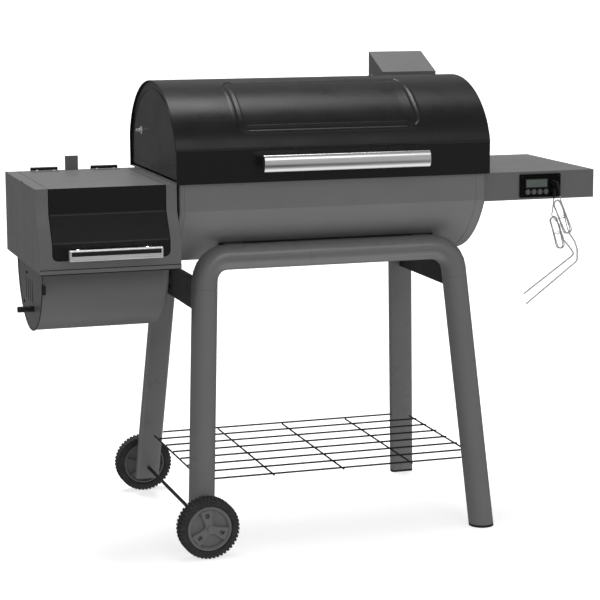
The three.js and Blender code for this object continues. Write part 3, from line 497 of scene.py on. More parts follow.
def make_plug(probe, number):
    """A moulded right-angle jack plug with a grip ring and a ribbed strain relief."""
    bm = bmesh.new()
    top = at(probe.plug_top[0], probe.y, probe.plug_top[1])
    end = at(probe.lead[0][0], probe.y, probe.lead[0][1])
    length = (end - top).length
    profile = [(0, 0), (0.0026, 0), (0.0035, 0.0008), (0.0038, 0.0022), (0.0038, 0.016), (0.0033, 0.017)]
    ribs = 5
    first, last = 0.018, length - 0.0015
    pitch = (last - first) / ribs
    for rib in range(ribs):
        start = first + pitch * rib
        thick = 0.0032 - 0.0009 * rib / ribs
        profile += [(thick - 0.0006, start), (thick, start + 0.2 * pitch),
                    (thick, start + 0.6 * pitch), (thick - 0.0006, start + 0.7 * pitch)]
    profile += [(0.0018, length), (0, length)]
    turned(bm, profile, top, end - top, 20)
    panel_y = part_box("controller_panel")[0].y
    jack = at(probe.plug_top[0], panel_y - 0.0004, probe.jack)
    reach = jack.y - probe.y
    turned(bm, [(0, 0), (0.0034, 0), (0.0034, reach - 0.001), (0.0028, reach), (0, reach)],
           (jack.x, probe.y, jack.z), (0, 1, 0), 20)
    plug = piece(f"probe_plug_moulding_{number}", bm, "black_plastic")
    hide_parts(f"probe_plug_{number}")
    return plug


def make_tie(probe, number):
    """A twist tie round the middle of the hank."""
    bm = bmesh.new()
    top, bottom, down, side = hank_frame(probe)
    middle = top.lerp(bottom, 0.5)
    across, inward = max(probe.radii) + TIE.over, Vector((0, TIE.deep, 0))
    loop = []
    for step in range(TIE.steps + 1):
        share = step / TIE.steps
        angle = 2 * math.pi * share
        loop.append(middle + side * across * math.cos(angle) + inward * math.sin(angle)
                    + down * TIE.rise * share)
    tube(bm, loop, TIE.wire, 8)
    knot = middle - inward
    for sign in (-1, 1):
        wing = [knot, knot + side * 0.002 * sign - Vector((0, 0.0006, 0)) + down * 0.003,
                knot + side * 0.005 * sign + down * 0.006]
        tube(bm, smoothed(wing, 0.001), TIE.wing, 8)
    return piece(f"cable_tie_{number}", bm, "black_plastic")


def make_probe_cables():
    for number, probe in enumerate(PROBES, start=1):
        lead = [at(x, probe.y, z) for x, z in probe.lead]
        start = lead[0]
        lead[0] = start + (lead[1] - start).normalized() * 0.0006
        route = smoothed(lead + hank_turns(probe), 0.0016)
        bm = bmesh.new()
        tube(bm, route, CABLE_DIAMETER / 2, 10)
        cable = piece(f"probe_cable_{number}", bm, "braided_cable", sharp_angle=60)
        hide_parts(f"probe_lead_{number}", f"probe_hank_{number}")
        make_plug(probe, number)
        make_tie(probe, number)


make_probe_cables()


# ---------- skins: the CAD shapes with rounded edges ----------
def skin(node, slot, bevel=0.0005, fold=0.0, sharp_angle=30):
    """A copy of a CAD node with its flat faces joined, its folds rounded and its edges eased."""
    bm = bmesh.new()
    bm.from_mesh(frame["nodes"][node].data)
    bmesh.ops.remove_doubles(bm, verts=bm.verts, dist=1e-5)
    bmesh.ops.dissolve_limit(bm, angle_limit=math.radians(0.6), verts=bm.verts, edges=bm.edges)
    for offset, least, segments, wide in ((fold, 18, 4, True), (bevel, 35, 2, False)):
        corners = []
        for edge in bm.edges:
            if len(edge.link_faces) == 2 and edge.calc_face_angle(0) > math.radians(least):
                width = min(face.calc_area() for face in edge.link_faces) / max(edge.calc_length(), 1e-6)
                if not wide or (edge.calc_length() > 0.04 and width > 0.008):
                    corners.append(edge)
        if offset:
            bmesh.ops.bevel(bm, geom=corners, offset=offset, segments=segments, profile=0.5,
                            affect="EDGES", clamp_overlap=True)
    made = piece(f"{node}_surface", bm, slot, body_of_node[node], sharp_angle, outward=False)
    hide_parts(node)


SKINS = [
    ("grey_powder_coat", {}, "smoke_hood side_shelf hopper_lid_top"),
    # The barrel's ends take the lighter copy of the grey coat (painted light); the air housing takes the
    # darker copy (painted shade).
    ("grey_powder_coat_painted_lighter", {}, "body_end_left body_end_right"),
    ("grey_powder_coat_painted_darker", {}, "air_housing_cap air_housing"),
    ("black_satin_paint", {}, "lid_end_left lid_end_right"),
    ("black_metal", {}, "lid_hinge_left lid_hinge_right hopper_hinge_left hopper_hinge_right"),
    ("galvanised_steel", {}, "drip_tray heat_baffle auger_tube auger_motor hopper_bin fan_impeller"),
    ("stainless_steel", {}, "igniter_rod auger_screw"),
    ("enamelled_grate", {}, "burn_pot"),
    ("black_plastic", {}, "air_shutter fan_motor front_foot_cap rear_foot_cap"),
    # The barrel's shell takes the lighter copy of the grey coat: painted light.
    ("grey_powder_coat_painted_lighter", {"bevel": 0.0006, "sharp_angle": 15}, "body_shell"),
    ("grey_powder_coat", {"fold": 0.0035}, "hopper_shell"),
    ("black_satin_paint", {"fold": 0.0030}, "hopper_lid_front"),
    ("enamelled_grate", {"bevel": 0.0016}, "cooking_grate"),
    ("polished_handle", {"bevel": 0.0012}, "lid_handle"),
    ("stainless_steel", {"bevel": 0.0006}, "hopper_lid_handle"),
    ("controller_face", {"bevel": 0.0008}, "controller_panel"),
    ("black_metal", {"bevel": 0.0008}, "side_brace_left side_brace_right"),
    ("tube_powder_coat", {"bevel": 0.0003, "sharp_angle": 40},
     "front_top_tube front_leg_left front_leg_right rear_top_tube rear_leg_left rear_leg_right"),
]


def make_skins():
    for slot, options, nodes in SKINS:
        for node in nodes.split():
            skin(node, slot, **options)


make_skins()


# ---------- lid: a pressed sheet with a plain double bead ----------
LID_SHEET = 0.002
HINGE_LEAF = Sizes(axis_out=0.008, axis_down=0.005, half_width=0.0095, screws=(-0.018, 0.018),
                   screw_y=0.0026, screw_z=0.030)
ARCH = Sizes(height=0.189, extra_depth=0.0047)
BEAD = Sizes(x=-0.010, half_width=0.240, front_angle=157, back_angle=104, corner=0.032, height=0.0017,
             width=0.0030, gap=0.015, lift=0.0010)
CREASE = [(-0.0045, 0.0004), (-0.0030, 0.0011), (-0.0015, 0.0008)]
SMOKE_HOLE = Sizes(inset_x=0.020, y0=0.130, y1=0.200)


def stops(low, high, coarse, fine, centres, reach):
    """Places from low to high, close together near the centres and further apart elsewhere."""
    places = {low, high}
    place = low
    while place < high:
        near = any(abs(place - centre) < reach for centre in centres)
        place += fine if near else coarse
        for centre in centres:
            edge = centre - reach
            if not near and place - coarse < edge < place:
                place = edge
        if place < high:
            places.add(place)
    return sorted(places)


def lid_rows():
    """Points of the lid's outline, front to back: (y, z, outward y, outward z, length along the arch)."""
    low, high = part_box("lid_shell")
    half_depth = MIDDLE_Y - low.y
    arch_depth = half_depth + ARCH.extra_depth
    arch_z = high.z - ARCH.height
    start = math.degrees(math.acos(half_depth / arch_depth))
    hole_edges = (SMOKE_HOLE.y0, SMOKE_HOLE.y1)
    hole_angles = [math.degrees(math.acos((y - MIDDLE_Y) / arch_depth)) for y in hole_edges]
    angles = stops(start, 180 - start, 3.0, 0.36, [BEAD.front_angle, BEAD.back_angle], 8)
    angles = [angle for angle in angles if all(abs(angle - hole) > 0.5 for hole in hole_angles)]
    angles = sorted(angles + hole_angles, reverse=True)
    crease_z = arch_z + ARCH.height * math.sin(math.radians(start))
    rows = [(low.y, z, -1.0, 0.0, 0.0) for z in (low.z, low.z + 0.004, crease_z - 0.006)]
    rows += [(low.y - lift, crease_z + dz, -1.0, 0.0, 0.0) for dz, lift in CREASE]
    length, before = 0.0, None
    for angle in angles:
        turn = math.radians(angle)
        y, z = MIDDLE_Y + arch_depth * math.cos(turn), arch_z + ARCH.height * math.sin(turn)
        out = Vector((math.cos(turn) / arch_depth, math.sin(turn) / ARCH.height)).normalized()
        if before is not None:
            length += math.dist(before, (y, z))
        before = (y, z)
        rows.append((y, z, out.x, out.y, length))
    back_y = MIDDLE_Y + half_depth
    rows += [(back_y, z, 1.0, 0.0, length) for z in (crease_z - 0.002, low.z + 0.004, low.z)]
    return rows, angles


def bead_height(across, along, half_width, half_height):
    """Height of the pressed bead at a place measured from the middle of the panel."""
    corner = BEAD.corner
    u = abs(across) - (half_width - corner)
    v = abs(along) - (half_height - corner)
    distance = math.hypot(max(u, 0), max(v, 0)) + min(max(u, v), 0) - corner
    ridge = math.exp(-(distance / BEAD.width) ** 2)
    ridge += math.exp(-((distance + BEAD.gap) / BEAD.width) ** 2)
    inside = min(max(-(distance + BEAD.gap) / 0.006, 0), 1)
    return BEAD.height * ridge + BEAD.lift * inside * inside * (3 - 2 * inside)


def make_lid():
    low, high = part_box("lid_shell")
    hood_low, hood_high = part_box("smoke_hood")
    rows, angles = lid_rows()
    arch_lengths = {angle: row[4] for angle, row in zip(angles, rows[3 + len(CREASE):-3])}

    def nearest(angle):
        return arch_lengths[min(arch_lengths, key=lambda other: abs(other - angle))]

    bead_front, bead_back = nearest(BEAD.front_angle), nearest(BEAD.back_angle)
    bead_middle, bead_half = (bead_front + bead_back) / 2, abs(bead_back - bead_front) / 2
    bead_x = MIDDLE_X + BEAD.x
    sides = [bead_x - BEAD.half_width, bead_x + BEAD.half_width]
    hole_x = [hood_low.x + SMOKE_HOLE.inset_x, hood_high.x - SMOKE_HOLE.inset_x]
    columns = stops(low.x, high.x, 0.02, 0.0016, sides, 0.036)
    columns = sorted([x for x in columns if all(abs(x - edge) > 0.002 for edge in hole_x)] + hole_x)
    bm = bmesh.new()
    outer, inner = [], []
    for x in columns:
        outer_line, inner_line = [], []
        for y, z, out_y, out_z, along in rows:
            lift = 0.0
            if along:
                lift = bead_height(x - bead_x, along - bead_middle, BEAD.half_width, bead_half)
            sunk = lift - LID_SHEET
            outer_line.append(bm.verts.new((x, y + out_y * lift, z + out_z * lift)))
            inner_line.append(bm.verts.new((x, y + out_y * sunk, z + out_z * sunk)))
        outer.append(outer_line)
        inner.append(inner_line)

    def is_hole(i, j):
        x = (columns[i] + columns[i + 1]) / 2
        y = (rows[j][0] + rows[j + 1][0]) / 2
        z = (rows[j][1] + rows[j + 1][1]) / 2
        inside_x = hole_x[0] < x < hole_x[1]
        return inside_x and SMOKE_HOLE.y0 < y < SMOKE_HOLE.y1 and z > hood_low.z - 0.05

    last_i, last_j = len(columns) - 2, len(rows) - 2

    def is_open(i, j):
        return i < 0 or j < 0 or i > last_i or j > last_j or is_hole(i, j)

    for i in range(last_i + 1):
        for j in range(last_j + 1):
            if is_open(i, j):
                continue
            bm.faces.new([outer[i][j], outer[i][j + 1], outer[i + 1][j + 1], outer[i + 1][j]])
            bm.faces.new([inner[i][j], inner[i + 1][j], inner[i + 1][j + 1], inner[i][j + 1]])
            borders = [((i - 1, j), (i, j), (i, j + 1)), ((i + 1, j), (i + 1, j), (i + 1, j + 1)),
                       ((i, j - 1), (i, j), (i + 1, j)), ((i, j + 1), (i, j + 1), (i + 1, j + 1))]
            for beside, (a, b), (c, d) in borders:
                if is_open(*beside):
                    bm.faces.new([outer[a][b], outer[c][d], inner[c][d], inner[a][b]])
    lid = piece("lid_pressing", bm, "black_satin_paint", "lid", 8)
    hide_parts("lid_shell")


def make_lid_hinge_leaves():
    """The lid's half of each hinge: a leaf, its neck, an arm to the axis and the knuckle."""
    leaves = bmesh.new()
    back_y = 2 * MIDDLE_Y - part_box("lid_shell")[0].y
    half = HINGE_LEAF.half_width
    blocks = [((-0.028, 0.0002, 0.012), (0.028, 0.0027, 0.044)),
              ((-half, 0.0002, 0.006), (half, 0.004, 0.022)),
              ((-half, 0.002, 0.0012), (half, 0.011, 0.010))]
    for side in ("left", "right"):
        base_low, base_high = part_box(f"lid_hinge_{side}")
        spot = Vector(((base_low.x + base_high.x) / 2, back_y, base_high.z - HINGE_LEAF.axis_down))
        for low, high in blocks:
            cuboid(leaves, spot + Vector(low), spot + Vector(high), 0.0006)
        knuckle = spot + Vector((0, HINGE_LEAF.axis_out, 0))
        barrel = [(0.0026, -half), (0.0050, -half), (0.0050, half), (0.0026, half)]
        turned_ring(leaves, barrel, knuckle, (1, 0, 0))
        for dx in HINGE_LEAF.screws:
            place = spot + Vector((dx, HINGE_LEAF.screw_y, HINGE_LEAF.screw_z))
            screw(leaves, place, (0, 1, 0), 0.0036)
    piece("lid_hinge_leaves", leaves, "black_metal", "lid")


# ---------- fasteners ----------
SCREW_SIDES = 16
SCREW_HEIGHT = 0.62
SCREW_RECESS = 0.6
SCREW_RINGS = [(0.22, 0.98), (0.5, 0.95), (0.8, 0.76), (0.97, 0.3), (1.0, -0.1)]
WASHER = 0.0012


def screw(bm, centre, direction, radius):
    """A pan head with a cross recess; its rings hold (share of the radius, share of the height)."""
    matrix = facing(Vector(centre), direction)
    height = radius * SCREW_HEIGHT
    rings = []
    for share, level in SCREW_RINGS:
        rings.append(ring(bm, matrix, share * radius, SCREW_SIDES, height * level))
        if share <= 0.5:
            for spot in rings[-1][::4]:
                spot.co -= matrix.to_3x3() @ Vector((0, 0, height * SCREW_RECESS))
    bm.faces.new(rings[0])
    bm.faces.new(rings[-1][::-1])
    for inner, outer in zip(rings, rings[1:]):
        bridge(bm, outer, inner)


def hex_bolt(bm, centre, direction, size):
    """A hexagon head with a chamfer, on a flat washer."""
    across, height = size.across, size.height
    washer = [(0, 0), (across * 0.95, 0), (across * 0.98, WASHER * 0.5), (across * 0.92, WASHER),
              (0, WASHER)]
    head = [(0, WASHER), (across * 0.56, WASHER), (across * 0.57, WASHER + height * 0.8),
            (across * 0.48, WASHER + height), (0, WASHER + height)]
    turned(bm, washer, centre, direction)
    turned(bm, head, centre, direction, 6)


def collar(bm, centre, direction, size):
    """A turned collar round a post."""
    inner, outer, height = size.inner, size.outer, size.height
    profile = [(inner, 0), (outer, 0), (outer, height * 0.6), (outer * 0.86, height), (inner, height)]
    turned_ring(bm, profile, centre, direction)


def screws(name, slot, body, radius, places):
    """A piece made of equal screws, each given by its centre and direction."""
    bm = bmesh.new()
    for centre, direction in places:
        screw(bm, centre, direction, radius)
    piece(name, bm, slot, body)


def blocks(name, slot, body, ease, boxes):
    """A piece made of blocks with equally rounded edges, each given by two corners."""
    bm = bmesh.new()
    for low, high in boxes:
        cuboid(bm, low, high, ease)
    piece(name, bm, slot, body)


make_lid()
make_lid_hinge_leaves()


# ---------- lid ends, handle and hood ----------
END_BOLT = Sizes(y=0.139, z=1.013, across=0.0110, height=0.0055)
END_STUD = [(0, 0.004), (0.0036, 0.004), (0.0036, 0.0142), (0.0028, 0.0150), (0, 0.0150)]
END_BEAD = Sizes(inset=0.022, foot=0.022, radius=0.0017, step=4, joint=0.0002)
LID_POST = Sizes(x=0.165, inner=0.0083, outer=0.0135, height=0.006)
HOOD_SCREW = Sizes(ys=(0.140, 0.195), z=1.137, radius=0.0034)


def lid_end_faces():
    """For each end of the lid, the way it faces along X and where its face is."""
    return [(-1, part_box("lid_end_left")[0].x), (1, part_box("lid_end_right")[1].x)]


def lid_details():
    low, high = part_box("lid_shell")
    bolts = bmesh.new()
    for side, face_x in lid_end_faces():
        spot = Vector((face_x, END_BOLT.y, END_BOLT.z))
        hex_bolt(bolts, spot, (side, 0, 0), END_BOLT)
        turned(bolts, END_STUD, spot, (side, 0, 0), 20)
    piece("lid_end_bolts", bolts, "stainless_steel", "lid")

    beads = bmesh.new()
    arch_z = high.z - ARCH.height
    depth = MIDDLE_Y - low.y + ARCH.extra_depth - END_BEAD.inset
    height = ARCH.height - END_BEAD.inset
    angles = [math.radians(angle) for angle in range(0, 181, END_BEAD.step)]
    for side, face_x in lid_end_faces():
        line = [Vector((face_x, MIDDLE_Y + depth * math.cos(angle), arch_z + height * math.sin(angle)))
                for angle in angles]
        foot_z = low.z + END_BEAD.foot
        line += [Vector((face_x, line[-1].y, foot_z)), Vector((face_x, line[0].y, foot_z))]
        line.append(line[0] - Vector((0, 0, END_BEAD.joint)))
        tube(beads, line, END_BEAD.radius, 8)
    piece("lid_end_beads", beads, "black_satin_paint", "lid")

    collars = bmesh.new()
    handle_low, handle_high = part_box("lid_handle")
    middle = (handle_low + handle_high) / 2
    for dx in (-LID_POST.x, LID_POST.x):
        collar(collars, (middle.x + dx, low.y - 0.0002, middle.z), (0, -1, 0), LID_POST)
    piece("lid_handle_collars", collars, "polished_handle", "lid")

    hood_low, hood_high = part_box("smoke_hood")
    places = [((x, y, HOOD_SCREW.z), (side, 0, 0)) for x, side in ((hood_low.x, -1), (hood_high.x, 1))
              for y in HOOD_SCREW.ys]
    screws("smoke_hood_screws", "stainless_steel", "lid", HOOD_SCREW.radius, places)


lid_details()


# ---------- barrel ----------
BELLY = Sizes(radius=0.2655, z=0.9555, half_depth=0.240, rim=0.0024)
BAND = Sizes(inset=0.010, width=0.013, lift=0.0009, ease=0.0024, sunk=-0.0004)
SHELF_BOLT = Sizes(inset_x=0.002, inset_y=0.05, down=0.045, across=0.0100, height=0.005)
HINGE_SCREW = Sizes(x=0.018, y=0.253, up=0.008, radius=0.0036)


def belly_outline(offset, steps=44):
    """The barrel's outside from its front top edge, round the belly, to its back top edge."""
    radius = BELLY.radius + offset
    half_depth = BELLY.half_depth + offset
    start = math.acos(half_depth / radius)
    points = [(MIDDLE_Y - half_depth, trough_high.z - BELLY.rim)]
    for step in range(steps + 1):
        angle = math.pi + start + (math.pi - 2 * start) * step / steps
        points.append((MIDDLE_Y + radius * math.cos(angle), BELLY.z + radius * math.sin(angle)))
    points.append((MIDDLE_Y + half_depth, trough_high.z - BELLY.rim))
    return points


def strip_round_belly(bm, x0, x1, lift, ease):
    """A raised band pressed round the barrel between two places along its length."""
    levels = [(x0, BAND.sunk), (x0 + ease * 0.25, lift * 0.7), (x0 + ease, lift),
              (x1 - ease, lift), (x1 - ease * 0.25, lift * 0.7), (x1, BAND.sunk)]
    lines = [[bm.verts.new((x, y, z)) for y, z in belly_outline(level)] for x, level in levels]
    for first, second in zip(lines, lines[1:] + lines[:1]):
        for i in range(len(first) - 1):
            bm.faces.new([first[i], first[i + 1], second[i + 1], second[i]])
    for end in (0, -1):
        bm.faces.new([line[end] for line in lines])


def barrel_details():
    bands = bmesh.new()
    for end in (trough_low.x, trough_high.x):
        side = 1 if end > MIDDLE_X else -1
        near = end - side * BAND.inset
        far = near - side * BAND.width
        strip_round_belly(bands, min(near, far), max(near, far), BAND.lift, BAND.ease)
    # The bands take the barrel's lighter copy of the grey coat: painted light.
    piece("barrel_end_bands", bands, "grey_powder_coat_painted_lighter", sharp_angle=25)

    bolts = bmesh.new()
    shelf_low, shelf_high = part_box("side_shelf")
    shelf_x, shelf_z = shelf_low.x + SHELF_BOLT.inset_x, shelf_high.z - SHELF_BOLT.down
    for y in (shelf_low.y + SHELF_BOLT.inset_y, MIDDLE_Y, shelf_high.y - SHELF_BOLT.inset_y):
        hex_bolt(bolts, (shelf_x, y, shelf_z), (1, 0, 0), SHELF_BOLT)
    for node in ("lid_hinge_left", "lid_hinge_right"):
        low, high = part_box(node)
        for dx in (-HINGE_SCREW.x, HINGE_SCREW.x):
            spot = ((low.x + high.x) / 2 + dx, MIDDLE_Y + HINGE_SCREW.y, low.z + HINGE_SCREW.up)
            screw(bolts, spot, (0, 1, 0), HINGE_SCREW.radius)
    piece("barrel_bolts", bolts, "black_metal")


barrel_details()


# ---------- pellet hopper ----------
HOPPER_POST = Sizes(x=0.085, inner=0.0063, outer=0.0110, height=0.005)
HANDLE_STUD = [(0, 0), (0.0036, 0), (0.0036, 0.0010), (0.0024, 0.0016), (0, 0.0018)]
HANDLE_STUD_Y = 0.008
GROOVE = Sizes(end=0.0042, front=0.0022, back=0.0046, below_middle=0.0008, below_top=0.0037)
LEAF_SCREW = Sizes(x=0.022, top_y=0.150, back_z=0.010, radius=0.0036)
SIDE_SCREW = Sizes(from_bottom=0.045, from_top=0.035, from_back=(0.030, 0.250), radius=0.0034)
LIP = Sizes(height=0.009, end=0.001, ease=0.0004)


def hopper_details():
    shell_low, shell_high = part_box("hopper_shell")
    door_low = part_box("hopper_lid_front")[0]
    handle_low, handle_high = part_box("hopper_lid_handle")
    middle = (handle_low + handle_high) / 2
    collars = bmesh.new()
    for dx in (-HOPPER_POST.x, HOPPER_POST.x):
        collar(collars, (middle.x + dx, door_low.y - 0.0001, middle.z), (0, -1, 0), HOPPER_POST)
        stud = (middle.x + dx, handle_low.y + HANDLE_STUD_Y, handle_high.z - LIP.ease)
        turned(collars, HANDLE_STUD, stud, (0, 0, 1), 20)
    piece("hopper_handle_fittings", collars, "polished_handle", "hopper_lid")
    # A black block set in the handle's groove: painted shade in the recess.
    low = (handle_low.x + GROOVE.end, handle_low.y + GROOVE.front, middle.z - GROOVE.below_middle)
    high = (handle_high.x - GROOVE.end, handle_low.y + GROOVE.back, handle_high.z - GROOVE.below_top)
    blocks("hopper_handle_groove_shade", "black_plastic", "hopper_lid", 0.0003, [(low, high)])

    leaf_screws = [((low.x + high.x) / 2 + dx, low, high)
                   for low, high in map(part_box, ("hopper_hinge_left", "hopper_hinge_right"))
                   for dx in (-LEAF_SCREW.x, LEAF_SCREW.x)]
    top_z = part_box("hopper_lid_top")[1].z
    places = [((x, LEAF_SCREW.top_y, top_z), (0, 0, 1)) for x, low, high in leaf_screws]
    screws("hopper_lid_screws", "stainless_steel", "hopper_lid", LEAF_SCREW.radius, places)

    fixed = bmesh.new()
    for z in (shell_low.z + SIDE_SCREW.from_bottom, shell_high.z - SIDE_SCREW.from_top):
        for reach in SIDE_SCREW.from_back:
            screw(fixed, (shell_low.x, shell_high.y - reach, z), (-1, 0, 0), SIDE_SCREW.radius)
    for x, low, high in leaf_screws:
        screw(fixed, (x, high.y, low.z + LEAF_SCREW.back_z), (0, 1, 0), LEAF_SCREW.radius)
    piece("hopper_screws", fixed, "grey_powder_coat")

    # Two black strips along the hopper's front lip: a dark seam line above it, and painted shadow under
    # it.
    lip_top = shell_low.z + LIP.height
    left, right = shell_low.x + LIP.end, shell_high.x - LIP.end
    front = shell_low.y
    lip_lines = [((left, front + 0.0008, lip_top - 0.0004), (right, front + 0.004, lip_top + 0.0014)),
             ((left, front + 0.0004, shell_low.z - 0.0024), (right, front + 0.010, shell_low.z))]
    blocks("hopper_lip_seam_and_shadow", "black_metal", STAND, LIP.ease, lip_lines)


hopper_details()


# ---------- air housing ----------
CAP_SCREWS = Sizes(places=((-0.028, 0.682), (0.016, 0.603)), radius=0.0042)
LATCH = Sizes(left=0.004, right=0.006, out=0.0026, back=0.004, bottom=0.658, top=0.680, ease=0.0010)
GASKET = Sizes(inset=0.0010, radius=0.0012, steps=48, start=0.01, sweep=0.98)
GRIP = Sizes(y=-0.111, z=0.603, radius=0.0075, length=0.0372, grooves=6, first=0.004, pitch=0.0045,
             depth=0.0010)


def housing_details():
    cap_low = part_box("air_housing_cap")[0]
    housing_low, housing_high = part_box("air_housing")
    axis_y = (housing_low.y + housing_high.y) / 2
    places = [((cap_low.x, y, z), (-1, 0, 0)) for y, z in CAP_SCREWS.places]
    screws("air_housing_screws", "black_metal", STAND, CAP_SCREWS.radius, places)
    low = (cap_low.x - LATCH.left, housing_low.y - LATCH.out, LATCH.bottom)
    high = (cap_low.x + LATCH.right, housing_low.y + LATCH.back, LATCH.top)
    blocks("air_housing_latch", "black_plastic", STAND, LATCH.ease, [(low, high)])

    rim = bmesh.new()
    radius = (housing_high.y - housing_low.y) / 2 - GASKET.radius
    line = []
    for step in range(GASKET.steps + 1):
        angle = math.pi + math.pi * (GASKET.start + GASKET.sweep * step / GASKET.steps)
        y, z = axis_y + radius * math.cos(angle), housing_high.z + radius * math.sin(angle)
        line.append(Vector((housing_low.x + GASKET.inset, y, z)))
    tube(rim, line, GASKET.radius, 8)
    piece("air_housing_gasket", rim, "black_metal")

    lever = bmesh.new()
    radius, length = GRIP.radius, GRIP.length
    skin_radius, groove_radius = radius + 0.0002, radius - GRIP.depth
    profile = [(0, 0.0), (radius * 0.75, 0.0), (skin_radius, 0.0016)]
    for groove in range(GRIP.grooves):
        start = GRIP.first + GRIP.pitch * groove
        profile += [(skin_radius, start), (groove_radius, start + 0.0010),
                    (groove_radius, start + 0.0020), (skin_radius, start + 0.0030)]
    profile += [(skin_radius, length - 0.0012), (radius * 0.8, length), (0, length)]
    spot = (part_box("air_shutter")[0].x - 0.0004, GRIP.y, GRIP.z)
    turned(lever, profile, spot, (1, 0, 0))
    piece("air_shutter_grip", lever, "black_plastic", "air_shutter")


housing_details()


# ---------- controller ----------
DISPLAY_BOX = Sizes(xs=(0.521, 0.580), zs=(0.868, 0.888), proud=0.0006, ease=0.0004, frame=0.0022)
JACK = Sizes(x=0.598, zs=(0.879, 0.857))
JACK_RING = [(0.0040, 0), (0.0066, 0), (0.0062, 0.0010), (0.0046, 0.0012), (0.0040, 0.0006)]
BUTTON_RING = [(0.0056, 0), (0.0070, 0), (0.0068, 0.0006), (0.0058, 0.0006)]
BUTTON_CAP = [(0, 0), (1, 0), (1, 0.72), (0.9, 0.92), (0.72, 1), (0.62, 0.93), (0, 0.88)]
PANEL_SCREW = Sizes(inset=0.006, radius=0.0021)


def controller_details():
    panel_low, panel_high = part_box("controller_panel")
    face_y = panel_low.y
    ring_y = face_y + 0.0001
    x0, x1 = (MIDDLE_X + x for x in DISPLAY_BOX.xs)
    z0, z1 = DISPLAY_BOX.zs
    proud, ease, edge = DISPLAY_BOX.proud, DISPLAY_BOX.ease, DISPLAY_BOX.frame
    window = [((x0, face_y - proud, z0), (x1, face_y + proud, z1))]
    blocks("controller_display", "display_window", STAND, ease, window)

    bezel = bmesh.new()
    left, right = x0 - edge, x1 + edge
    for low_x, low_z, high_x, high_z in ((left, z0 - edge, right, z0), (left, z1, right, z1 + edge),
                                         (left, z0, x0, z1), (x1, z0, right, z1)):
        cuboid(bezel, (low_x, face_y - 2 * proud, low_z), (high_x, face_y + ease, high_z), ease)
    for jack_z in JACK.zs:
        turned_ring(bezel, JACK_RING, (MIDDLE_X + JACK.x, ring_y, jack_z), (0, -1, 0))
    inset = PANEL_SCREW.inset
    for x in (panel_low.x + inset, panel_high.x - inset):
        for z in (panel_low.z + inset, panel_high.z - inset):
            screw(bezel, (x, face_y, z), (0, -1, 0), PANEL_SCREW.radius)
    piece("controller_bezel", bezel, "black_plastic")

    rings = bmesh.new()
    for number in range(1, 5):
        low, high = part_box(f"controller_button_{number}")
        centre = (low + high) / 2
        turned_ring(rings, BUTTON_RING, (centre.x, ring_y, centre.z), (0, -1, 0))
        cap = bmesh.new()
        radius, depth = (high.x - low.x) / 2, high.y - low.y
        profile = [(radius * across, depth * out) for across, out in BUTTON_CAP]
        turned(cap, profile, (centre.x, high.y, centre.z), (0, -1, 0))
        button = piece(f"controller_button_cap_{number}", cap, "button_rubber", f"button_{number}")
        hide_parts(f"controller_button_{number}")
    piece("controller_button_rings", rings, "hub_plastic")


controller_details()


# ---------- stand ----------
BRACE_BOLT = Sizes(heights=(0.3, 0.75), reach=0.16, splay=0.14, across=0.0100, height=0.0050)
# The sleeve's share of the tube's width and its reach each way; how far down from the top the corners
# of the leg's mouth and foot are sought
SLEEVE = Sizes(share=0.92, reach=0.012, mouth=0.02, foot=0.3)
# Painted shade: a black strip along each top tube under the barrel's belly.
BELLY_SHADOW_STRIP = Sizes(outer=0.168, inner=0.156, ledge=0.1745, ledge_drop=0.007, depth=0.009, half=0.285,
             gap=0.0004)


def brace_bolts():
    bolts = bmesh.new()
    for name, side in (("left", -1), ("right", 1)):
        low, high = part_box(f"side_brace_{name}")
        web_x = low.x if side < 0 else high.x
        for share in BRACE_BOLT.heights:
            z = low.z + (high.z - low.z) * share
            reach = BRACE_BOLT.reach + (high.z - z) * BRACE_BOLT.splay
            for y in (-reach, reach):
                hex_bolt(bolts, (web_x, y, z), (side, 0, 0), BRACE_BOLT)
    piece("brace_bolts", bolts, "black_metal")


def seam_sleeves():
    """The dark sleeve inside each joint between a top tube and a leg."""
    for end in ("front", "rear"):
        for side in ("left", "right"):
            leg = frame["nodes"][f"{end}_leg_{side}"]
            corners = [leg.matrix_world @ vert.co for vert in leg.data.vertices]
            top = max(corner.z for corner in corners)
            mouth = [corner for corner in corners if corner.z > top - SLEEVE.mouth]
            foot = [corner for corner in corners if corner.z < top - SLEEVE.foot]
            centre = sum(mouth, Vector()) / len(mouth)
            along = (centre - sum(foot, Vector()) / len(foot)).normalized()
            bm = bmesh.new()
            for corner in mouth:
                spot = centre + (corner - centre) * SLEEVE.share
                for shift in (-SLEEVE.reach, SLEEVE.reach):
                    bm.verts.new(spot + along * shift)
            bmesh.ops.convex_hull(bm, input=bm.verts[:])
            loose = [vert for vert in bm.verts if not vert.link_faces]
            bmesh.ops.delete(bm, geom=loose, context="VERTS")
            piece(f"{end}_{side}_seam_sleeve", bm, "black_metal")


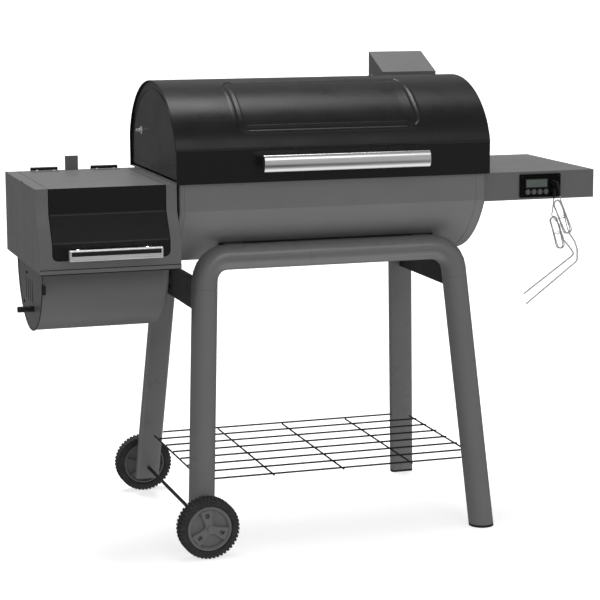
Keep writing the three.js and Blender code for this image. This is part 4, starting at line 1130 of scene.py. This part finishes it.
def painted_belly_shadow_strips():
    """A black strip along each top tube under the barrel's belly: painted shade for the dark contact gap
    between the tube and the belly.
    """
    for end, sign in (("front", -1), ("rear", 1)):
        def under(y):
            reach = sign * y - MIDDLE_Y
            return BELLY.z - math.sqrt((BELLY.radius + BELLY_SHADOW_STRIP.gap) ** 2 - reach ** 2)

        outer, inner, ledge = BELLY_SHADOW_STRIP.outer, BELLY_SHADOW_STRIP.inner, BELLY_SHADOW_STRIP.ledge
        ledge_z = under(outer) - BELLY_SHADOW_STRIP.ledge_drop
        foot_z = under(inner) - BELLY_SHADOW_STRIP.depth
        outline = [(inner, foot_z), (inner, under(inner)), (outer, under(outer)), (outer, ledge_z),
                   (ledge, ledge_z), (ledge, foot_z)]
        bm = bmesh.new()
        near, far = ([bm.verts.new(at(x, sign * y, z)) for y, z in outline]
                     for x in (-BELLY_SHADOW_STRIP.half, BELLY_SHADOW_STRIP.half))
        bridge(bm, near, far)
        bm.faces.new(near)
        bm.faces.new(far[::-1])
        piece(f"belly_shadow_strip_{end}", bm, "black_metal")


brace_bolts()
seam_sleeves()
painted_belly_shadow_strips()


# ---------- wire rack ----------
RACK = Sizes(long_wires=8, cross_wires=5, radius=0.0023, first_x=0.360, last_x=0.380, front_x=0.331,
             end_y=0.2435, drop=0.0040)


def make_rack():
    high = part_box("wire_rack")[1]
    bm = bmesh.new()
    z = high.z - RACK.radius
    reach = high.y - RACK.radius + 0.0001
    first, last = MIDDLE_X - RACK.first_x, MIDDLE_X + RACK.last_x
    for i in range(RACK.long_wires):
        y = -reach + 2 * reach * i / (RACK.long_wires - 1)
        outermost = i in (0, RACK.long_wires - 1)
        x0, x1 = (MIDDLE_X - RACK.front_x, MIDDLE_X + RACK.front_x) if outermost else (first, last)
        tube(bm, [Vector((x, y, z)) for x in (x0, x1)], RACK.radius, 12)
    for i in range(RACK.cross_wires):
        x = first + (last - first) * i / (RACK.cross_wires - 1)
        end = RACK.end_y if i in (0, RACK.cross_wires - 1) else reach
        tube(bm, [Vector((x, y, z - RACK.drop)) for y in (-end, end)], RACK.radius, 12)
    rack = piece("wire_rack_rods", bm, "black_metal", sharp_angle=50)
    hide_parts("wire_rack")


make_rack()


# ---------- wheels ----------
WHEEL = Sizes(radius=0.076, half_width=0.020, hub=0.0562, lugs=46, lug_depth=0.0021)
HUB = Sizes(bore=0.0045, sides=150, rings=46, ribs=6, rib_turn=0.3)
AXLE = Sizes(ease=0.0012, cap_over=0.0018)
AXLE_CAP = [(0, 0), (0.0074, 0), (0.0076, 0.0010), (0.0066, 0.0026), (0.0040, 0.0036), (0, 0.0039)]


def make_tyre(end, centre, out):
    """A solid tyre with two staggered rows of tread blocks and a ribbed shoulder."""
    bm = bmesh.new()
    base = WHEEL.radius - WHEEL.lug_depth
    half = WHEEL.half_width
    matrix = facing(centre, (0, out, 0))
    shoulder = [(WHEEL.hub, half - 0.004), (0.0585, half - 0.001), (0.0640, half), (0.0660, half - 0.0008),
                (0.0690, half - 0.0004), (base - 0.001, half - 0.0030), (base, half - 0.0060)]
    profile = [(radius, -height) for radius, height in shoulder] + shoulder[::-1]
    closed_lathe(bm, profile, 72, matrix)
    pitch = 2 * math.pi / WHEEL.lugs
    for lug in range(WHEEL.lugs):
        for row, (near, far) in enumerate(((-half + 0.0012, -0.0010), (0.0010, half - 0.0012))):
            angle = pitch * (lug + 0.5 * row)
            turn = matrix @ Matrix.Rotation(angle, 4, "Z")
            thick = WHEEL.radius * pitch * 0.33
            top = WHEEL.radius - 0.0002
            cuboid(bm, (base - 0.004, -thick, near), (top, thick, far), 0.0009, 2, turn)
    tyre = piece(f"{end}_tyre_tread", bm, "tyre_rubber", f"{end}_wheel", 34)
    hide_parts(f"{end}_tyre")


# The hub's moulded face: heights, and the pairs of places between which one height eases into the next
FACE = Sizes(rim=(0.0485, 0.0505), rim_height=0.0025, web=(0.0455, 0.0480), web_depth=0.0062,
             arms=3, first_arm=100, arm_half=0.0105, arm_spread=0.0055, arm_flare=(0.016, 0.040),
             arm_end=(0.0462, 0.0480), arm_ease=0.0008, arm_foot=-0.0058, arm_height=0.0084,
             slot_side=(0.0032, 0.0044), slot_start=(0.0270, 0.0284), slot_end=(0.0380, 0.0394),
             slot_depth=0.0075, boss=(0.0095, 0.0108), boss_height=0.0034)


def smooth_step(value, start, end):
    share = min(max((value - start) / (end - start), 0), 1)
    return share * share * (3 - 2 * share)


def hub_relief(x, y):
    """Height of the hub's moulded face: a rim, a dished web and three raised arms with slots."""
    radius = math.hypot(x, y)
    height = FACE.rim_height * smooth_step(radius, *FACE.rim)
    height -= FACE.web_depth * (1 - smooth_step(radius, *FACE.web))
    for arm in range(FACE.arms):
        angle = math.radians(FACE.first_arm + 360 / FACE.arms * arm)
        along = x * math.cos(angle) + y * math.sin(angle)
        across = abs(-x * math.sin(angle) + y * math.cos(angle))
        if along < 0:
            continue
        half = FACE.arm_half + FACE.arm_spread * smooth_step(along, *FACE.arm_flare)
        body = 1 - smooth_step(across, half - FACE.arm_ease, half + FACE.arm_ease)
        body *= 1 - smooth_step(along, *FACE.arm_end)
        height = max(height, FACE.arm_foot + FACE.arm_height * body)
        slot = 1 - smooth_step(across, *FACE.slot_side)
        slot *= smooth_step(along, *FACE.slot_start) * (1 - smooth_step(along, *FACE.slot_end))
        height -= FACE.slot_depth * slot
    boss = 1 - smooth_step(radius, *FACE.boss)
    return height * (1 - boss) + FACE.boss_height * boss


def make_hub(end, centre, out):
    bm = bmesh.new()
    matrix = facing(centre, (0, out, 0))
    half = WHEEL.half_width
    rim = WHEEL.hub - 0.0003
    face_z = half - 0.0036
    first = HUB.bore
    rings = []
    for number in range(HUB.rings + 1):
        radius = first + (rim - 0.0015 - first) * number / HUB.rings
        rings.append(ring(bm, matrix, radius, HUB.sides, lambda x, y: face_z + hub_relief(x, y)))
    edge = [(rim, face_z + 0.0008), (rim, -half + 0.005), (rim - 0.001, -half + 0.004),
            (rim - 0.004, -half + 0.004), (rim - 0.006, -half + 0.014), (0.0200, -half + 0.014),
            (0.0180, -half + 0.004), (first + 0.0005, -half + 0.004), (first, -half + 0.0045)]
    rings += [ring(bm, matrix, radius, HUB.sides, z) for radius, z in edge]
    for lower, upper in zip(rings, rings[1:] + rings[:1]):
        bridge(bm, lower, upper)
    for rib in range(HUB.ribs):
        turn = matrix @ Matrix.Rotation(2 * math.pi * rib / HUB.ribs + HUB.rib_turn, 4, "Z")
        low, high = (0.0180, -0.0012, -half + 0.0060), (rim - 0.0040, 0.0012, -half + 0.0150)
        cuboid(bm, low, high, 0.0004, 1, turn)
    hub = piece(f"{end}_hub_moulding", bm, "hub_plastic", f"{end}_wheel", 38)
    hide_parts(f"{end}_hub")


def make_wheels():
    for end, out in (("front", -1), ("rear", 1)):
        low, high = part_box(f"{end}_tyre")
        centre = (low + high) / 2
        make_tyre(end, centre, out)
        make_hub(end, centre, out)

    low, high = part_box("axle_rod")
    bm = bmesh.new()
    middle = (low + high) / 2
    radius, length = (high.z - low.z) / 2, high.y - low.y
    rod = [(0, 0), (radius - AXLE.ease, 0), (radius, AXLE.ease), (radius, length - AXLE.ease),
           (radius - AXLE.ease, length), (0, length)]
    turned(bm, rod, (middle.x, low.y, middle.z), (0, 1, 0))
    caps = bmesh.new()
    for y, side in ((low.y, -1), (high.y, 1)):
        turned(caps, AXLE_CAP, (middle.x, y - side * AXLE.cap_over, middle.z), (0, side, 0))
    piece("axle_end_caps", caps, "hub_plastic")
    axle = piece("axle_rod_turned", bm, "black_metal")
    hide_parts("axle_rod")


make_wheels()


# ---------- the probes' steel rods, which show as CAD ----------
for number in (1, 2):
    for material_slot in frame["nodes"][f"probe_rod_{number}"].material_slots:
        material_slot.material = FINISHES["probe_steel"]


# ---------- floor and studio light ----------
FLOOR = Sizes(reach=150.0, drop=0.0002, glow=0.7)


def make_floor():
    reach = FLOOR.reach
    bm = bmesh.new()
    corners = [(-reach, -reach), (reach, -reach), (reach, reach), (-reach, reach)]
    bm.faces.new([bm.verts.new((x, y, -FLOOR.drop)) for x, y in corners])
    data = bpy.data.meshes.new("studio_floor")
    bm.to_mesh(data)
    bm.free()
    finish = Finish("studio_floor", specular=0.2)
    shade = finish.noise(0.6, 2)
    finish.colour(grey(0.80), grey(0.84), shade)
    finish.roughness(finish.spread(shade, 0.6, 0.7))
    finish.shade({"Emission Color": (1, 1, 1, 1), "Emission Strength": FLOOR.glow})
    data.materials.append(finish.material)
    floor = bpy.data.objects.new("studio_floor", data)
    bpy.context.scene.collection.objects.link(floor)
    floor.visible_diffuse = False
    floor.visible_glossy = False


# Soft boxes at a great distance: direction, half angle of the full light, half angle of its edge and
# strength. A negative strength is a black flag.
SOFT_BOXES = [
    ((0.0, 0.25, 1.0), 8, 22, 7.8),
    ((0.1, 1.0, 0.6), 5, 28, 0.18),
    ((0.2, -1.0, 0.62), 4, 15, 1.8),
    ((0.5, -1.0, -0.2), 25, 95, 0.21),
    ((-1.0, -0.3, 0.0), 20, 80, 0.10),
    ((0.15, -0.25, -1.0), 20, 60, 0.52),
    ((0.1, -0.85, -0.50), 8, 26, -0.46),
]
SURROUND = 0.20


def make_studio_light():
    world = bpy.data.worlds.new("studio")
    bpy.context.scene.world = world
    world.use_nodes = True
    tree = world.node_tree
    tree.nodes.clear()
    direction = add_node(tree, "ShaderNodeTexCoord", {}, "Generated")
    total = SURROUND
    for towards, inner, outer, strength in SOFT_BOXES:
        sockets = {0: direction, 1: Vector(towards).normalized()}
        dot = add_node(tree, "ShaderNodeVectorMath", sockets, "Value", operation="DOT_PRODUCT")
        sockets = {"Value": dot, "From Min": math.cos(math.radians(outer)),
                   "From Max": math.cos(math.radians(inner)), "To Min": 0.0, "To Max": strength}
        fade = add_node(tree, "ShaderNodeMapRange", sockets, "Result", interpolation_type="SMOOTHSTEP")
        total = add_node(tree, "ShaderNodeMath", {0: fade, 1: total}, "Value", operation="ADD")
    white = (1, 1, 1, 1)
    lit = add_node(tree, "ShaderNodeBackground", {"Color": white, "Strength": total}, "Background")
    seen = add_node(tree, "ShaderNodeBackground", {"Color": white, "Strength": 1.0}, "Background")
    straight = add_node(tree, "ShaderNodeLightPath", {}, "Is Camera Ray")
    mix = add_node(tree, "ShaderNodeMixShader", {"Fac": straight, 1: lit, 2: seen}, "Shader")
    fill(tree, tree.nodes.new("ShaderNodeOutputWorld"), {"Surface": mix})
    bpy.context.scene.view_settings.view_transform = "Standard"


make_floor()
make_studio_light()

bpy.context.view_layer.update()
